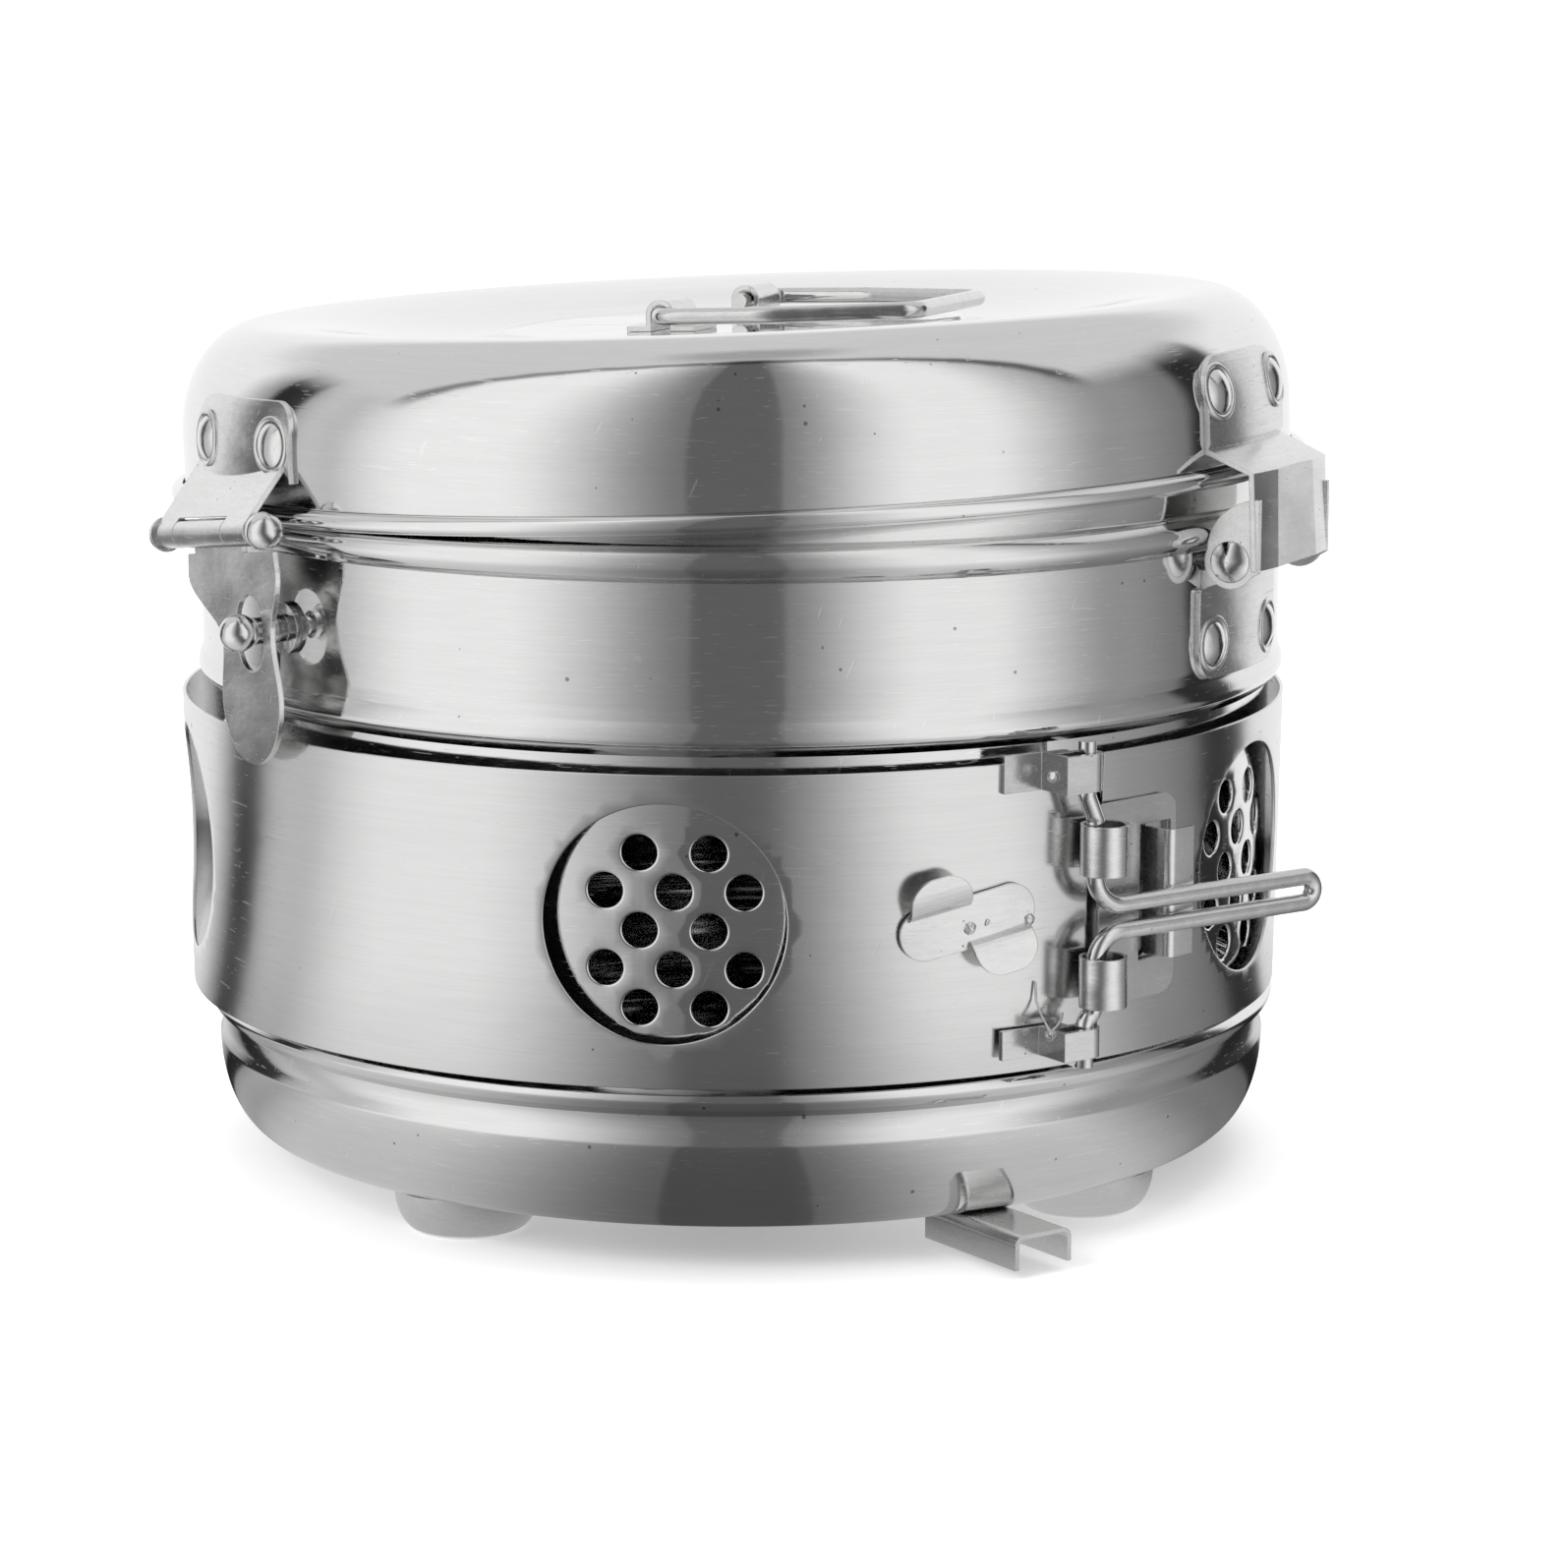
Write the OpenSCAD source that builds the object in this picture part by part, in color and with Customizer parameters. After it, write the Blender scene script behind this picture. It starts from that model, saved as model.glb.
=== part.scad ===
/* [Drum] */
// Outer radius of the drum's vented wall
drum_r = 81; // [76:0.5:90]
// Thickness of the drum's sheet steel
drum_sheet = 0.6; // [0.4:0.1:0.9]
// How far the rounded bottom edge reaches inward
corner_w = 6.5; // [4:0.5:9]
// Height of the rounded bottom edge
corner_h = 13.5; // [10:0.5:18]
// Height of the plain strip between the bottom edge and the lower bead
strip_h = 4; // [3:0.5:8]
// Height of the lower bead
bead_h = 4.7; // [4:0.1:6]
// How far the lower bead stands out from the vented wall
bead_out = 1.4; // [1:0.1:1.8]
// Height of the vented wall that the sliding band covers
recess_h = 46.4; // [44:0.2:60]
// Height of the ridge above the vented wall
ridge_h = 5.1; // [4:0.1:7]
// How far the ridge stands out from the vented wall
ridge_out = 2.1; // [1.8:0.1:2.6]
// How far the upper wall stands out from the vented wall
upper_out = 1.35; // [1:0.05:1.6]
// Height of the upper wall
upper_h = 19.2; // [18:0.2:26]
// Height of the bulge below the lid
bulge_h = 5.6; // [4.5:0.1:7]
// How far the bulge stands out from the upper wall
bulge_out = 1.65; // [1:0.05:1.7]
// Height of the neck from the bulge to its rolled rim
neck_h = 5.3; // [4:0.1:7]
// How much the neck narrows towards the rim
neck_taper = 0.4; // [0.2:0.1:0.8]
// Radius of the rolled rim
rim_r = 1.2; // [0.9:0.1:1.5]

/* [Vents] */
// How many groups of vent holes there are
vent_groups = 5; // [3:1:6]
// Diameter of a vent hole
vent_d = 5.2; // [3.5:0.1:5.4]
// Height between two rows of vent holes
vent_row = 5.5; // [5.4:0.1:6]
// Distance between neighbouring holes of a row, along the wall
vent_pitch = 9.8; // [8:0.2:10]
// Angle of the first group, from the front towards the right
vent_turn = -6.1; // [-12:0.1:12]

/* [Lid] */
// Gap between the upper wall's radius and the inside of the lid
lid_play = 1.5; // [1.2:0.05:2]
// Thickness of the lid's sheet steel
lid_sheet = 0.5; // [0.4:0.05:0.7]
// Height of the lid's straight wall
lid_wall_h = 8.2; // [8:0.2:14]
// How far the lid's rounded shoulder reaches inward
shoulder_w = 12; // [9:0.5:16]
// Height of the lid's rounded shoulder
shoulder_h = 16.6; // [15.5:0.2:22]
// Depth of the dish in the lid's top
dish_depth = 4.8; // [3:0.2:6]
// Radius of the raised disc in the dish
disc_r = 37; // [34:0.5:44]
// How far the disc rises from the dish
disc_rise = 1.7; // [1:0.1:2.4]
// Radius of the lid's rolled edge
hem_r = 1.35; // [1:0.05:1.5]
// Height of the lid's edge above the bulge, on the drum's axis
lid_lift = 1.35; // [1:0.05:3]
// Slope of the closed lid, down from its hinge
lid_tilt = 2.43; // [1.5:0.01:2.6]
// How far the closed lid lies away from the hinge
lid_back = 0.8; // [0:0.05:0.9]
// How far the closed lid lies along the hinge pin
lid_side = 0.8; // [0:0.05:0.9]

/* [Bail handle] */
// Diameter of the bail's wire
bail_wire = 2.5; // [2:0.1:3]
// Width of the bail between the middles of its legs
bail_w = 44.8; // [40:0.2:50]
// Length of the bail from its pivot to its tip
bail_l = 38.5; // [34:0.5:42]
// Bend radius of the bail's corners
bail_bend = 3; // [2.5:0.1:4]
// Angle of the bail's pivot line from the X axis
bail_turn = 66.6; // [50:0.1:80]
// How far the pivot line lies behind the lid's middle
bail_back = 3; // [0:0.1:6]
// Height of the bail's wire above the disc
bail_h = 2.4; // [2:0.1:3]
// Width of a lug's strap
lug_w = 8; // [6:0.1:9]
// Thickness of a lug's strap
lug_sheet = 0.8; // [0.5:0.1:1]
// Length of a lug's foot beside its arch
lug_foot = 3.2; // [2:0.1:4]

/* [Hinge] */
// Angle of the hinge, from the front towards the right
hinge_turn = 63; // [55:0.5:70]
// Thickness of the hinge's and the clasp's plates
plate = 0.8; // [0.6:0.05:1]
// Width of the lid's hinge plate
hinge_w = 28; // [26:0.2:32]
// Radius of the hinge pin
hinge_pin_r = 1.6; // [1.3:0.05:1.9]
// How far the hinge pin lies outside the upper wall
hinge_out = 3.8; // [3.6:0.05:4.2]
// Height of the hinge pin below the bulge
hinge_drop = 1.2; // [0.8:0.05:1.6]
// Radius of the cheeks round the pin
cheek_r = 3.9; // [3.6:0.05:4.1]
// How far the cover's face lies outside the pin
cover_out = 4.8; // [4.6:0.05:5.4]
// How far the cover reaches below the pin
cover_drop = 1.45; // [0.8:0.05:2]
// Height of the lid's hinge plate above the lid's edge
hinge_plate_h = 17.4; // [16.6:0.1:18]
// Height of the body's hinge plate
hinge_leaf_h = 16; // [14:0.2:16.6]
// Distance between the two rivets of a plate
rivet_gap = 20.6; // [18:0.1:22]
// Diameter of a rivet's head
rivet_d = 6.5; // [5:0.1:7]
// Height of a rivet's head
rivet_h = 1.1; // [0.8:0.1:1.4]

/* [Clasp] */
// Angle of the clasp, from the front towards the right
clasp_turn = -57.5; // [-65:0.5:-50]
// Width of the clasp's lid plate
clasp_w = 29.4; // [28:0.2:31]
// Height of the clasp's lid plate above the lid's edge
clasp_plate_h = 16.4; // [15:0.1:17.5]
// How far the clasp's pin lies outside the lid's wall
clasp_out = 5; // [4.8:0.05:5.6]
// How far the clasp's pin lies below the lid's edge
clasp_drop = 2.6; // [2:0.1:3]
// Slope of the clasp's pin along the lid's edge
clasp_skew = 5; // [0:0.5:7]
// Radius of the clasp's pin
clasp_pin_r = 1.25; // [1:0.05:1.4]
// Length of the hasp from its pin to its tip
hasp_l = 33.4; // [31:0.2:36]
// Width of the hasp at its top
hasp_top_w = 28; // [25:0.2:29]
// Width of the hasp at its waist
hasp_waist_w = 15.6; // [14:0.2:17]
// Width of the hasp's tongue
hasp_tip_w = 18.4; // [16:0.2:20]
// Angle that the hasp hangs inward
hasp_lean = 1.6; // [0:0.1:2]
// Height of the stud above the upper wall's foot
stud_rise = 8.5; // [6:0.1:10]
// Diameter of the stud's ball
ball_d = 5.5; // [4.8:0.1:5.8]
// How far the ball's middle stands out from the upper wall
ball_out = 8.3; // [8:0.1:9]
// Angle of the stud, from the front towards the right
stud_turn = -51.6; // [-53:0.1:-50.5]

/* [Sliding band] */
// Thickness of the band's sheet
band_sheet = 0.5; // [0.4:0.05:0.7]
// Outer radius of the band over that of the vented wall, at its lower edge
band_out = 2.7; // [2.4:0.05:3]
// How much wider the band is at its upper edge
band_flare = 0.8; // [0:0.1:1]
// How far the band lies to one side, where it leans on the drum
band_shift = 1.15; // [0.6:0.05:1.2]
// Gap between the band's lower edge and the lower bead
band_rise = 0.1; // [0:0.1:0.4]
// Gap between the band's upper edge and the ridge
band_top_gap = 2; // [1.6:0.1:3]
// Width of the split in the band
split_w = 2.5; // [1.5:0.1:3]
// Band left above and below a window
window_rim = 5.05; // [4.5:0.05:7]

/* [Latch] */
// Diameter of the latch's wire
latch_wire_d = 2.6; // [2.2:0.1:2.8]
// Angle of the latch's pivot, from the front towards the right
latch_turn = 34.6; // [32:0.1:36]
// Thickness of the brackets' strap
strap = 0.8; // [0.6:0.05:1]
// How far the pivot lies outside the band's lower radius
pivot_out = 4.6; // [4.4:0.05:5]
// Sideways offset of the cranks from the pivot
crank = 1.6; // [1.4:0.05:1.7]
// Length of the handle from the pivot
lever_l = 42; // [38:0.5:46]
// Distance between the two legs of the handle
lever_gap = 3.8; // [3.2:0.1:4.4]
// Bend radius where a leg leaves its crank
lever_bend = 5; // [4:0.1:5.4]
// Thickness of the link plate
link_sheet = 0.5; // [0.4:0.05:0.6]
// Outer diameter of the link plate's knuckles
knuckle_d = 6.9; // [6.7:0.1:7.4]
// Height of a knuckle
knuckle_h = 7.2; // [6:0.1:8]
// Band left above and below the link plate
link_rim = 7.6; // [7:0.1:9]
// Angle of the link plate, from the front towards the right
link_turn = 44; // [43:0.1:45]
// Distance that the link slides when the handle closes
link_travel = 3.7; // [3.5:0.05:4]

/* [Keeper] */
// Angle of the keeper clip, from the front towards the right
keeper_turn = 23.3; // [20:0.1:25]
// Length of the keeper's base
keeper_l = 21; // [18:0.2:22]
// Width of the keeper's base
keeper_w = 7.4; // [7.2:0.1:8]
// Slope of the keeper's base
keeper_slope = 11; // [0:0.5:14]

/* [Feet and base channel] */
// Height of a foot
foot_h = 6.5; // [5.5:0.1:8]
// Radius of a foot at the drum
foot_top_r = 10.8; // [9:0.1:12]
// Radius of a foot at the floor
foot_low_r = 7.2; // [6:0.1:8]
// Distance of a foot's centre from the drum's wall
foot_in = 16.5; // [15.5:0.1:22]
// Angle of the first foot, from the front towards the right
foot_turn = -38; // [-45:0.5:-30]
// Width of the channel under the drum
channel_w = 10; // [8:0.2:12]
// Height of the channel
channel_h = 5; // [4.4:0.1:5.2]
// Length of the channel
channel_l = 21.2; // [18:0.2:24]

/* [Hidden] */

$fn = 48;
// Overrun of every cut
over = 0.5;
// Face to face seat between pieces that are riveted or welded together
seat = 0.03;
// Running clearance between a pin and its bore
run = 0.05;
// Clearance between pieces that move past each other
slip = 0.3;
// Steps of a rounded stretch in a revolved outline
steps = 10;

// Heights above the floor
under_z = foot_h;
corner_z = under_z + corner_h;
strip_z = corner_z + strip_h;
recess_z = strip_z + bead_h;
ridge_z = recess_z + recess_h;
upper_z = ridge_z + ridge_h;
bulge_z = upper_z + upper_h;
neck_z = bulge_z + bulge_h;
rim_z = neck_z + neck_h;
lid_z = neck_z + lid_lift;

// Radii of the drum
flat_r = drum_r - corner_w;
strip_in = 0.4;
strip_lead = 1.2;
upper_r = drum_r + upper_out;
neck_r = upper_r - neck_taper;
rim_turn = 235;

// The lid, measured from its own edge
lid_in_r = upper_r + lid_play;
lid_r = lid_in_r + lid_sheet;
crown_z = lid_wall_h + shoulder_h;
crown_r = lid_r - shoulder_w;
floor_z = crown_z - dish_depth;
disc_z = floor_z + disc_rise;
disc_edge = 2.2;
hem_turn = 292;

// Revolved outlines: a path of points, given its thickness on its left (t > 0) or right side
function unit(v) = v / norm(v);
function along(p, i) = unit(p[min(i + 1, len(p) - 1)] - p[max(i - 1, 0)]);
function left_of(v) = [-v[1], v[0]];
function sheet_of(p, t) = concat(p, [for (i = [len(p) - 1 : -1 : 0]) p[i] + t * left_of(along(p, i))]);
// A bead from radius r0 to r1, whose top reaches r2, from height z up over h
function bead_path(r0, r1, r2, z, h) = [for (i = [0 : steps]) let (a = -90 + 180 * i / steps)
    [(a < 0 ? r0 + (r2 - r0) * cos(a) : r1 + (r2 - r1) * cos(a)), z + h * i / steps]];
function arc_path(cx, cz, r, a0, a1, n) = [for (i = [0 : n]) let (a = a0 + (a1 - a0) * i / n)
    [cx + r * cos(a), cz + r * sin(a)]];

drum_path = concat([[0, under_z]],
    [for (i = [0 : steps]) let (a = 90 * i / steps)
        [flat_r + corner_w * sin(a), under_z + corner_h * (1 - cos(a))]],
    [[drum_r - strip_in, corner_z + strip_lead]],
    bead_path(drum_r - strip_in, drum_r, drum_r + bead_out, strip_z, bead_h),
    bead_path(drum_r, upper_r, drum_r + ridge_out, ridge_z, ridge_h),
    bead_path(upper_r, upper_r, upper_r + bulge_out, bulge_z, bulge_h),
    arc_path(neck_r - rim_r, rim_z, rim_r, 0, rim_turn, steps));

// The lid's radius at a height above its edge
function lid_r_at(h) = h <= lid_wall_h ? lid_r
    : lid_r - shoulder_w * (1 - sqrt(1 - pow((h - lid_wall_h) / shoulder_h, 2)));
function lid_slope_at(h) = atan2(lid_r_at(h - over) - lid_r_at(h + over), 2 * over);
lid_path = concat([[0, disc_z], [disc_r - disc_edge, disc_z], [disc_r, floor_z]],
    [for (i = [1 : steps]) let (u = i / steps)
        [disc_r + (crown_r - disc_r) * u, floor_z + dish_depth * (1 - cos(180 * u)) / 2]],
    [for (i = [1 : steps]) let (a = 90 * i / steps)
        [crown_r + shoulder_w * sin(a), lid_wall_h + shoulder_h * cos(a)]],
    arc_path(lid_in_r + hem_r, 0, hem_r - lid_sheet, 180, 180 + hem_turn, 2 * steps));

// Puts a piece on a radius of the drum: X runs along the wall to the right, -Y outward
module at_turn(turn) {
    rotate([0, 0, turn]) children();
}
// Puts the lid's own frame where the closed lid lies
module on_lid() {
    at_turn(hinge_turn) translate([lid_side, lid_back, lid_z]) rotate([-lid_tilt, 0, 0])
        at_turn(-hinge_turn) children();
}
// Extrudes an outline of the wall (X along it, Y up) outward, from radius r0 to r1
module outward(r0, r1) {
    translate([0, -r0, 0]) rotate([90, 0, 0]) linear_extrude(r1 - r0) children();
}
// Extrudes an outline of radius and height along the pin, centred, over w
module across(w) {
    translate([-w / 2, 0, 0]) rotate([90, 0, 90]) linear_extrude(w) mirror([1, 0]) children();
}
// A revolved sheet, facing the front, over the angle of a width w at radius r
module sector(w, r) {
    half = asin(w / 2 / r);
    rotate([0, 0, -90 - half]) rotate_extrude(angle = 2 * half, $fn = 96) children();
}
// A plate with its lower corners rounded by r0 and its upper ones by r1
module tab(w, h, r0, r1) {
    difference() {
        translate([-w / 2, 0]) square([w, h]);
        translate([-w / 2, 0]) nip(0, r0);
        translate([w / 2, 0]) nip(90, r0);
        translate([w / 2, h]) nip(180, r1);
        translate([-w / 2, h]) nip(270, r1);
    }
}
// What a corner at the origin loses to a fillet, in the quadrant that a turn names
module nip(turn, r) {
    if (r > 0) rotate(turn) difference() {
        translate([-over, -over]) square(r + over);
        translate([r, r]) circle(r);
    }
}

// Bent wire in one plane: straight runs joined by true bends of radius rb
module bent_wire(p, rb, rw) {
    last = len(p) - 1;
    turns = [for (i = [1 : last - 1]) wrap(heading(p[i], p[i + 1]) - heading(p[i - 1], p[i]))];
    cuts = concat([0], [for (t = turns) rb * tan(abs(t) / 2)], [0]);
    for (i = [0 : last - 1]) {
        dir = unit(p[i + 1] - p[i]);
        wire_run(p[i] + cuts[i] * dir, p[i + 1] - cuts[i + 1] * dir, rw);
    }
    for (i = [1 : last - 1]) {
        start = p[i] - cuts[i] * unit(p[i] - p[i - 1]);
        wire_bend(start, heading(p[i - 1], p[i]), turns[i - 1], rb, rw);
    }
}
function heading(a, b) = atan2(b[1] - a[1], b[0] - a[0]);
function wrap(a) = a > 180 ? a - 360 : a < -180 ? a + 360 : a;
module wire_run(a, b, rw) {
    translate([a[0], a[1], 0]) rotate([0, 90, heading(a, b)])
        translate([0, 0, -run]) cylinder(r = rw, h = norm(b - a) + 2 * run, $fn = 32);
}
// A bend is thinner than its runs by less than shows, so it ends inside them
module wire_bend(start, dir, turn, rb, rw) {
    side = turn > 0 ? 1 : -1;
    translate([start[0], start[1], 0]) rotate([0, 0, dir]) translate([0, side * rb, 0])
        rotate([0, 0, turn > 0 ? -90 : 90 + turn])
            rotate_extrude(angle = abs(turn), $fn = 96) translate([rb, 0])
                circle(rw - run, $fn = 32);
}

// A rivet's place: on radius r at a height, Z outward and tilted up
module on_rivet(x, z, r, tilt) {
    at_turn(asin(x / r)) translate([0, -r, z]) rotate([90 - tilt, 0, 0]) children();
}
// A rivet through a plate that stands at the origin and the sheet behind it
module rivet(sheet) {
    dome = rivet_d * rivet_d / 8 / rivet_h + rivet_h / 2;
    through = plate + sheet + 3 * seat + rivet_ease;
    translate([0, 0, plate + seat]) {
        intersection() {
            translate([0, 0, rivet_h - dome]) sphere(dome);
            cylinder(d = rivet_d, h = rivet_h);
        }
        translate([0, 0, -through]) cylinder(d = rivet_shank, h = through);
        translate([0, 0, -through - rivet_tail]) cylinder(d = rivet_foot, h = rivet_tail);
    }
}
rivet_shank = 3;
rivet_foot = 4.4;
rivet_tail = 0.5;
rivet_ease = 0.1;
module rivet_bore() {
    cylinder(d = rivet_shank + 2 * seat, h = 2 * wall_depth, center = true);
}
// Depth that takes a bore or a stud through one plate and one sheet
wall_depth = 3;

// Drum and what is fixed to it
vent_rows = [2, 3, 2, 3, 2];
vent_z = recess_z + recess_h / 2 - vent_row / 4;
module drum_body() {
    color("lightgray") difference() {
        rotate_extrude($fn = 120) polygon(sheet_of(drum_path, drum_sheet));
        for (g = [0 : vent_groups - 1])
            at_turn(vent_turn + g * 360 / vent_groups) vent_group();
        at_leaf_rivets() rivet_bore();
        at_turn(stud_turn) translate([0, -upper_r - over, stud_z]) rotate([-90, 0, 0])
            cylinder(r = stud_shank + seat, h = wall_depth);
    }
}
module vent_group() {
    for (row = [0 : len(vent_rows) - 1])
        for (i = [0 : vent_rows[row] - 1]) {
            step = (i - (vent_rows[row] - 1) / 2) * vent_pitch;
            at_turn(step / drum_r * 180 / PI)
                translate([0, over - drum_r, vent_z + ((len(vent_rows) - 1) / 2 - row) * vent_row])
                    rotate([90, 0, 0]) cylinder(d = vent_d, h = wall_depth, center = true);
        }
}

foot_sheet = 0.8;
function foot_outline() = concat([[0, 0]], [for (i = [0 : steps]) let (a = 90 * i / steps)
    [foot_low_r + (foot_top_r - foot_low_r) * sin(a), (foot_h - 2 * seat) * (1 - cos(a))]]);
module foot(i) {
    color("silver") at_turn(foot_turn + i * 90) translate([0, foot_in - drum_r, 0])
        rotate_extrude($fn = 64) polygon(sheet_of(foot_outline(), foot_sheet));
}

channel_turn = 35;
channel_along = 7.2;
channel_out = 0.5;
channel_place = 28.7;
channel_sheet = 0.7;
channel_bend = 1.6;
module base_channel() {
    color("silver") at_turn(channel_place) translate([0, -drum_r - channel_out, under_z - channel_h])
        at_turn(channel_turn - channel_place) outward(channel_along - channel_l, channel_along)
            difference() {
                tab(channel_w, channel_h, 0, channel_bend);
                translate([0, -over]) tab(channel_w - 2 * channel_sheet, channel_h + over - channel_sheet,
                    0, channel_bend - channel_sheet);
            }
}

// Hinge: places on the drum, outward and up
pin_d = upper_r + hinge_out;
pin_z = bulge_z - hinge_drop;
cheek_in = hinge_w / 2 - plate;
ear_out = cheek_in - slip;
ear_r = 3.2;
leaf_rise = 0.4;
leaf_z = upper_z + leaf_rise;
leaf_rivet_share = 0.32;
leaf_rivet_z = leaf_z + hinge_leaf_h * leaf_rivet_share;
leaf_corner = 4;
leaf_over = 0.5;
leaf_w = hinge_w + 2 * leaf_over;
leaf_neck_z = pin_z - cheek_r - slip;
// Puts a piece on the pin's axis, Z along it
module on_pin() {
    at_turn(hinge_turn) translate([0, -pin_d, pin_z]) rotate([0, 90, 0]) children();
}
module body_hinge_plate() {
    color("silver") difference() {
        at_turn(hinge_turn) union() {
            intersection() {
                sector(leaf_w, upper_r) translate([upper_r + seat, leaf_z]) square([plate, hinge_leaf_h]);
                outward(0, upper_r + plate + over) union() {
                    translate([0, leaf_z]) tab(leaf_w, leaf_neck_z - leaf_z, leaf_corner, plate);
                    translate([-ear_out, leaf_z + leaf_corner])
                        square([2 * ear_out, hinge_leaf_h - leaf_corner]);
                }
            }
            for (s = [-1, 1]) translate([s * (ear_out - plate / 2), 0, 0]) across(plate) ear();
        }
        on_pin() cylinder(r = hinge_pin_r + seat, h = leaf_w, center = true);
        at_leaf_rivets() rivet_bore();
    }
}
// The ear's outline, in radius and height, bent out of the leaf to carry the pin
module ear() {
    slope = 30;
    root = sqrt(pow(upper_r + seat + plate, 2) - pow(ear_out, 2)) - plate / 2;
    leaf_top = leaf_z + hinge_leaf_h;
    translate([pin_d, pin_z]) circle(ear_r);
    polygon([[root, leaf_neck_z], [root, leaf_top], [pin_d, pin_z + ear_r],
        [pin_d + ear_r * cos(slope), pin_z - ear_r * sin(slope)]]);
}
module at_leaf_rivets() {
    at_turn(hinge_turn) for (s = [-1, 1])
        on_rivet(s * rivet_gap / 2, leaf_rivet_z, upper_r + seat, 0) children();
}
module body_hinge_rivets() {
    color("gainsboro") at_leaf_rivets() rivet(drum_sheet);
}
pin_head_r = 3;
pin_head_h = 1.2;
module hinge_pin() {
    half = hinge_w / 2 + run;
    color("gainsboro") on_pin() {
        cylinder(r = hinge_pin_r, h = 2 * half, center = true);
        for (s = [0, 1]) mirror([0, 0, s]) translate([0, 0, half]) pin_head();
    }
}
module pin_head() {
    dome = pin_head_r * pin_head_r / 2 / pin_head_h + pin_head_h / 2;
    intersection() {
        translate([0, 0, pin_head_h - dome]) sphere(dome);
        cylinder(r = pin_head_r, h = pin_head_h);
    }
}

// The lid's hinge plate follows the lid, steps out over its edge and covers the pin
cover_d = pin_d + cover_out;
step_h = 3.6;
cover_top = 0.6;
plate_round = 6;
lid_rivet_share = 0.7;
lid_rivet_h = hinge_plate_h * lid_rivet_share;
cheek_top = 5.2;
cheek_slope = 25;
// Turns to the hinge from the lid's own axis, which lies lid_side along the pin
module on_lid_hinge() {
    on_lid() at_turn(hinge_turn - asin(lid_side / lid_r)) children();
}
module lid_hinge_plate() {
    color("silver") difference() {
        union() {
            on_lid_hinge() intersection() {
                sector(hinge_w, lid_r) hinge_outline();
                outward(0, cover_d + over) translate([0, -drop_h()])
                    tab(hinge_w, drop_h() + hinge_plate_h, 0, plate_round);
            }
            at_turn(hinge_turn) for (s = [-1, 1])
                translate([s * (hinge_w / 2 - plate / 2), 0, 0]) across(plate) cheek();
        }
        on_pin() cylinder(r = hinge_pin_r + run, h = leaf_w, center = true);
        at_lid_rivets() rivet_bore();
    }
}
// How far the cover reaches below the lid's edge, where the hinge is
function drop_h() = lid_z + lid_r * sin(lid_tilt) - pin_z + cover_drop;
module hinge_outline() {
    face = cover_d + lid_back;
    top = [for (i = [steps : -1 : 0]) let (h = step_h + (hinge_plate_h - step_h) * i / steps)
        [lid_r_at(h) + seat, h]];
    polygon(sheet_of(concat(top, [[face - plate, cover_top], [face - plate, -drop_h()]]), plate));
}
// The cheek's outline: the cover's side folded in, drawn down to a lobe round the pin
module cheek() {
    face = cover_d - plate / 2;
    low = pin_z - cover_drop;
    top = pin_z + cheek_r + cheek_top;
    start = [pin_d - cheek_r * cos(cheek_slope), pin_z + cheek_r * sin(cheek_slope)];
    translate([pin_d, pin_z]) circle(cheek_r);
    polygon(concat([[pin_d, pin_z - cheek_r], [face, low], [face, top]],
        [for (i = [steps : -1 : 0]) let (a = 90 * i / steps)
            [start[0] + (face - start[0]) * (1 - cos(a)), start[1] + (top - start[1]) * sin(a)]]));
}
module at_lid_rivets() {
    on_lid_hinge() for (s = [-1, 1])
        on_rivet(s * rivet_gap / 2, lid_rivet_h, lid_r_at(lid_rivet_h) + seat, lid_slope_at(lid_rivet_h))
            children();
}
module lid_hinge_rivets() {
    color("gainsboro") at_lid_rivets() rivet(lid_sheet);
}

module lid_shell() {
    color("lightgray") difference() {
        on_lid() rotate_extrude($fn = 120) polygon(sheet_of(lid_path, -lid_sheet));
        at_lid_rivets() rivet_bore();
        at_clasp_rivets() rivet_bore();
    }
}

// Clasp: places in the lid's frame, along the pin from its middle
clasp_knuckle_r = clasp_pin_r + run + plate;
clasp_bore_r = clasp_pin_r + run;
clasp_fold = 5.3;
clasp_round = 4.5;
clasp_rivet_h = 10.1;
left_end = -15.3;
left_in = -9.2;
right_in = 7;
right_end = 14.3;
knuckle_gap = 0.2;
cap_r = 2.6;
cap_h = 0.7;
// Puts a piece on the clasp's pin: X along the pin, -Y outward, Z up
module on_clasp() {
    on_lid() at_turn(clasp_turn) translate([0, -lid_r - clasp_out, -clasp_drop])
        rotate([0, -clasp_skew, 0]) children();
}
module pin_bore(r) {
    rotate([0, 90, 0]) cylinder(r = r, h = 2 * clasp_w, center = true);
}
module knuckle(x0, x1) {
    translate([x0, 0, 0]) rotate([0, 90, 0]) cylinder(r = clasp_knuckle_r, h = x1 - x0);
}
module clasp_plate() {
    color("silver") difference() {
        union() {
            on_lid() at_turn(clasp_turn) intersection() {
                sector(clasp_w, lid_r) clasp_outline();
                outward(0, lid_r + plate + over) tab(clasp_w, clasp_plate_h, 0, clasp_round);
            }
            clasp_flange();
            on_clasp() {
                knuckle(left_end, left_in + over);
                knuckle(right_in - over, right_end);
            }
        }
        on_clasp() pin_bore(clasp_bore_r);
        on_clasp() translate([left_in, 0, 0]) rotate([0, 90, 0])
            cylinder(r = clasp_knuckle_r + slip, h = right_in - left_in);
        at_clasp_rivets() rivet_bore();
    }
}
module clasp_outline() {
    low = clasp_fold - over;
    top = [for (i = [steps : -1 : 0]) let (h = low + (clasp_plate_h - low) * i / steps)
        [lid_r_at(h) + seat, h]];
    polygon(sheet_of(top, plate));
}
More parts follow.
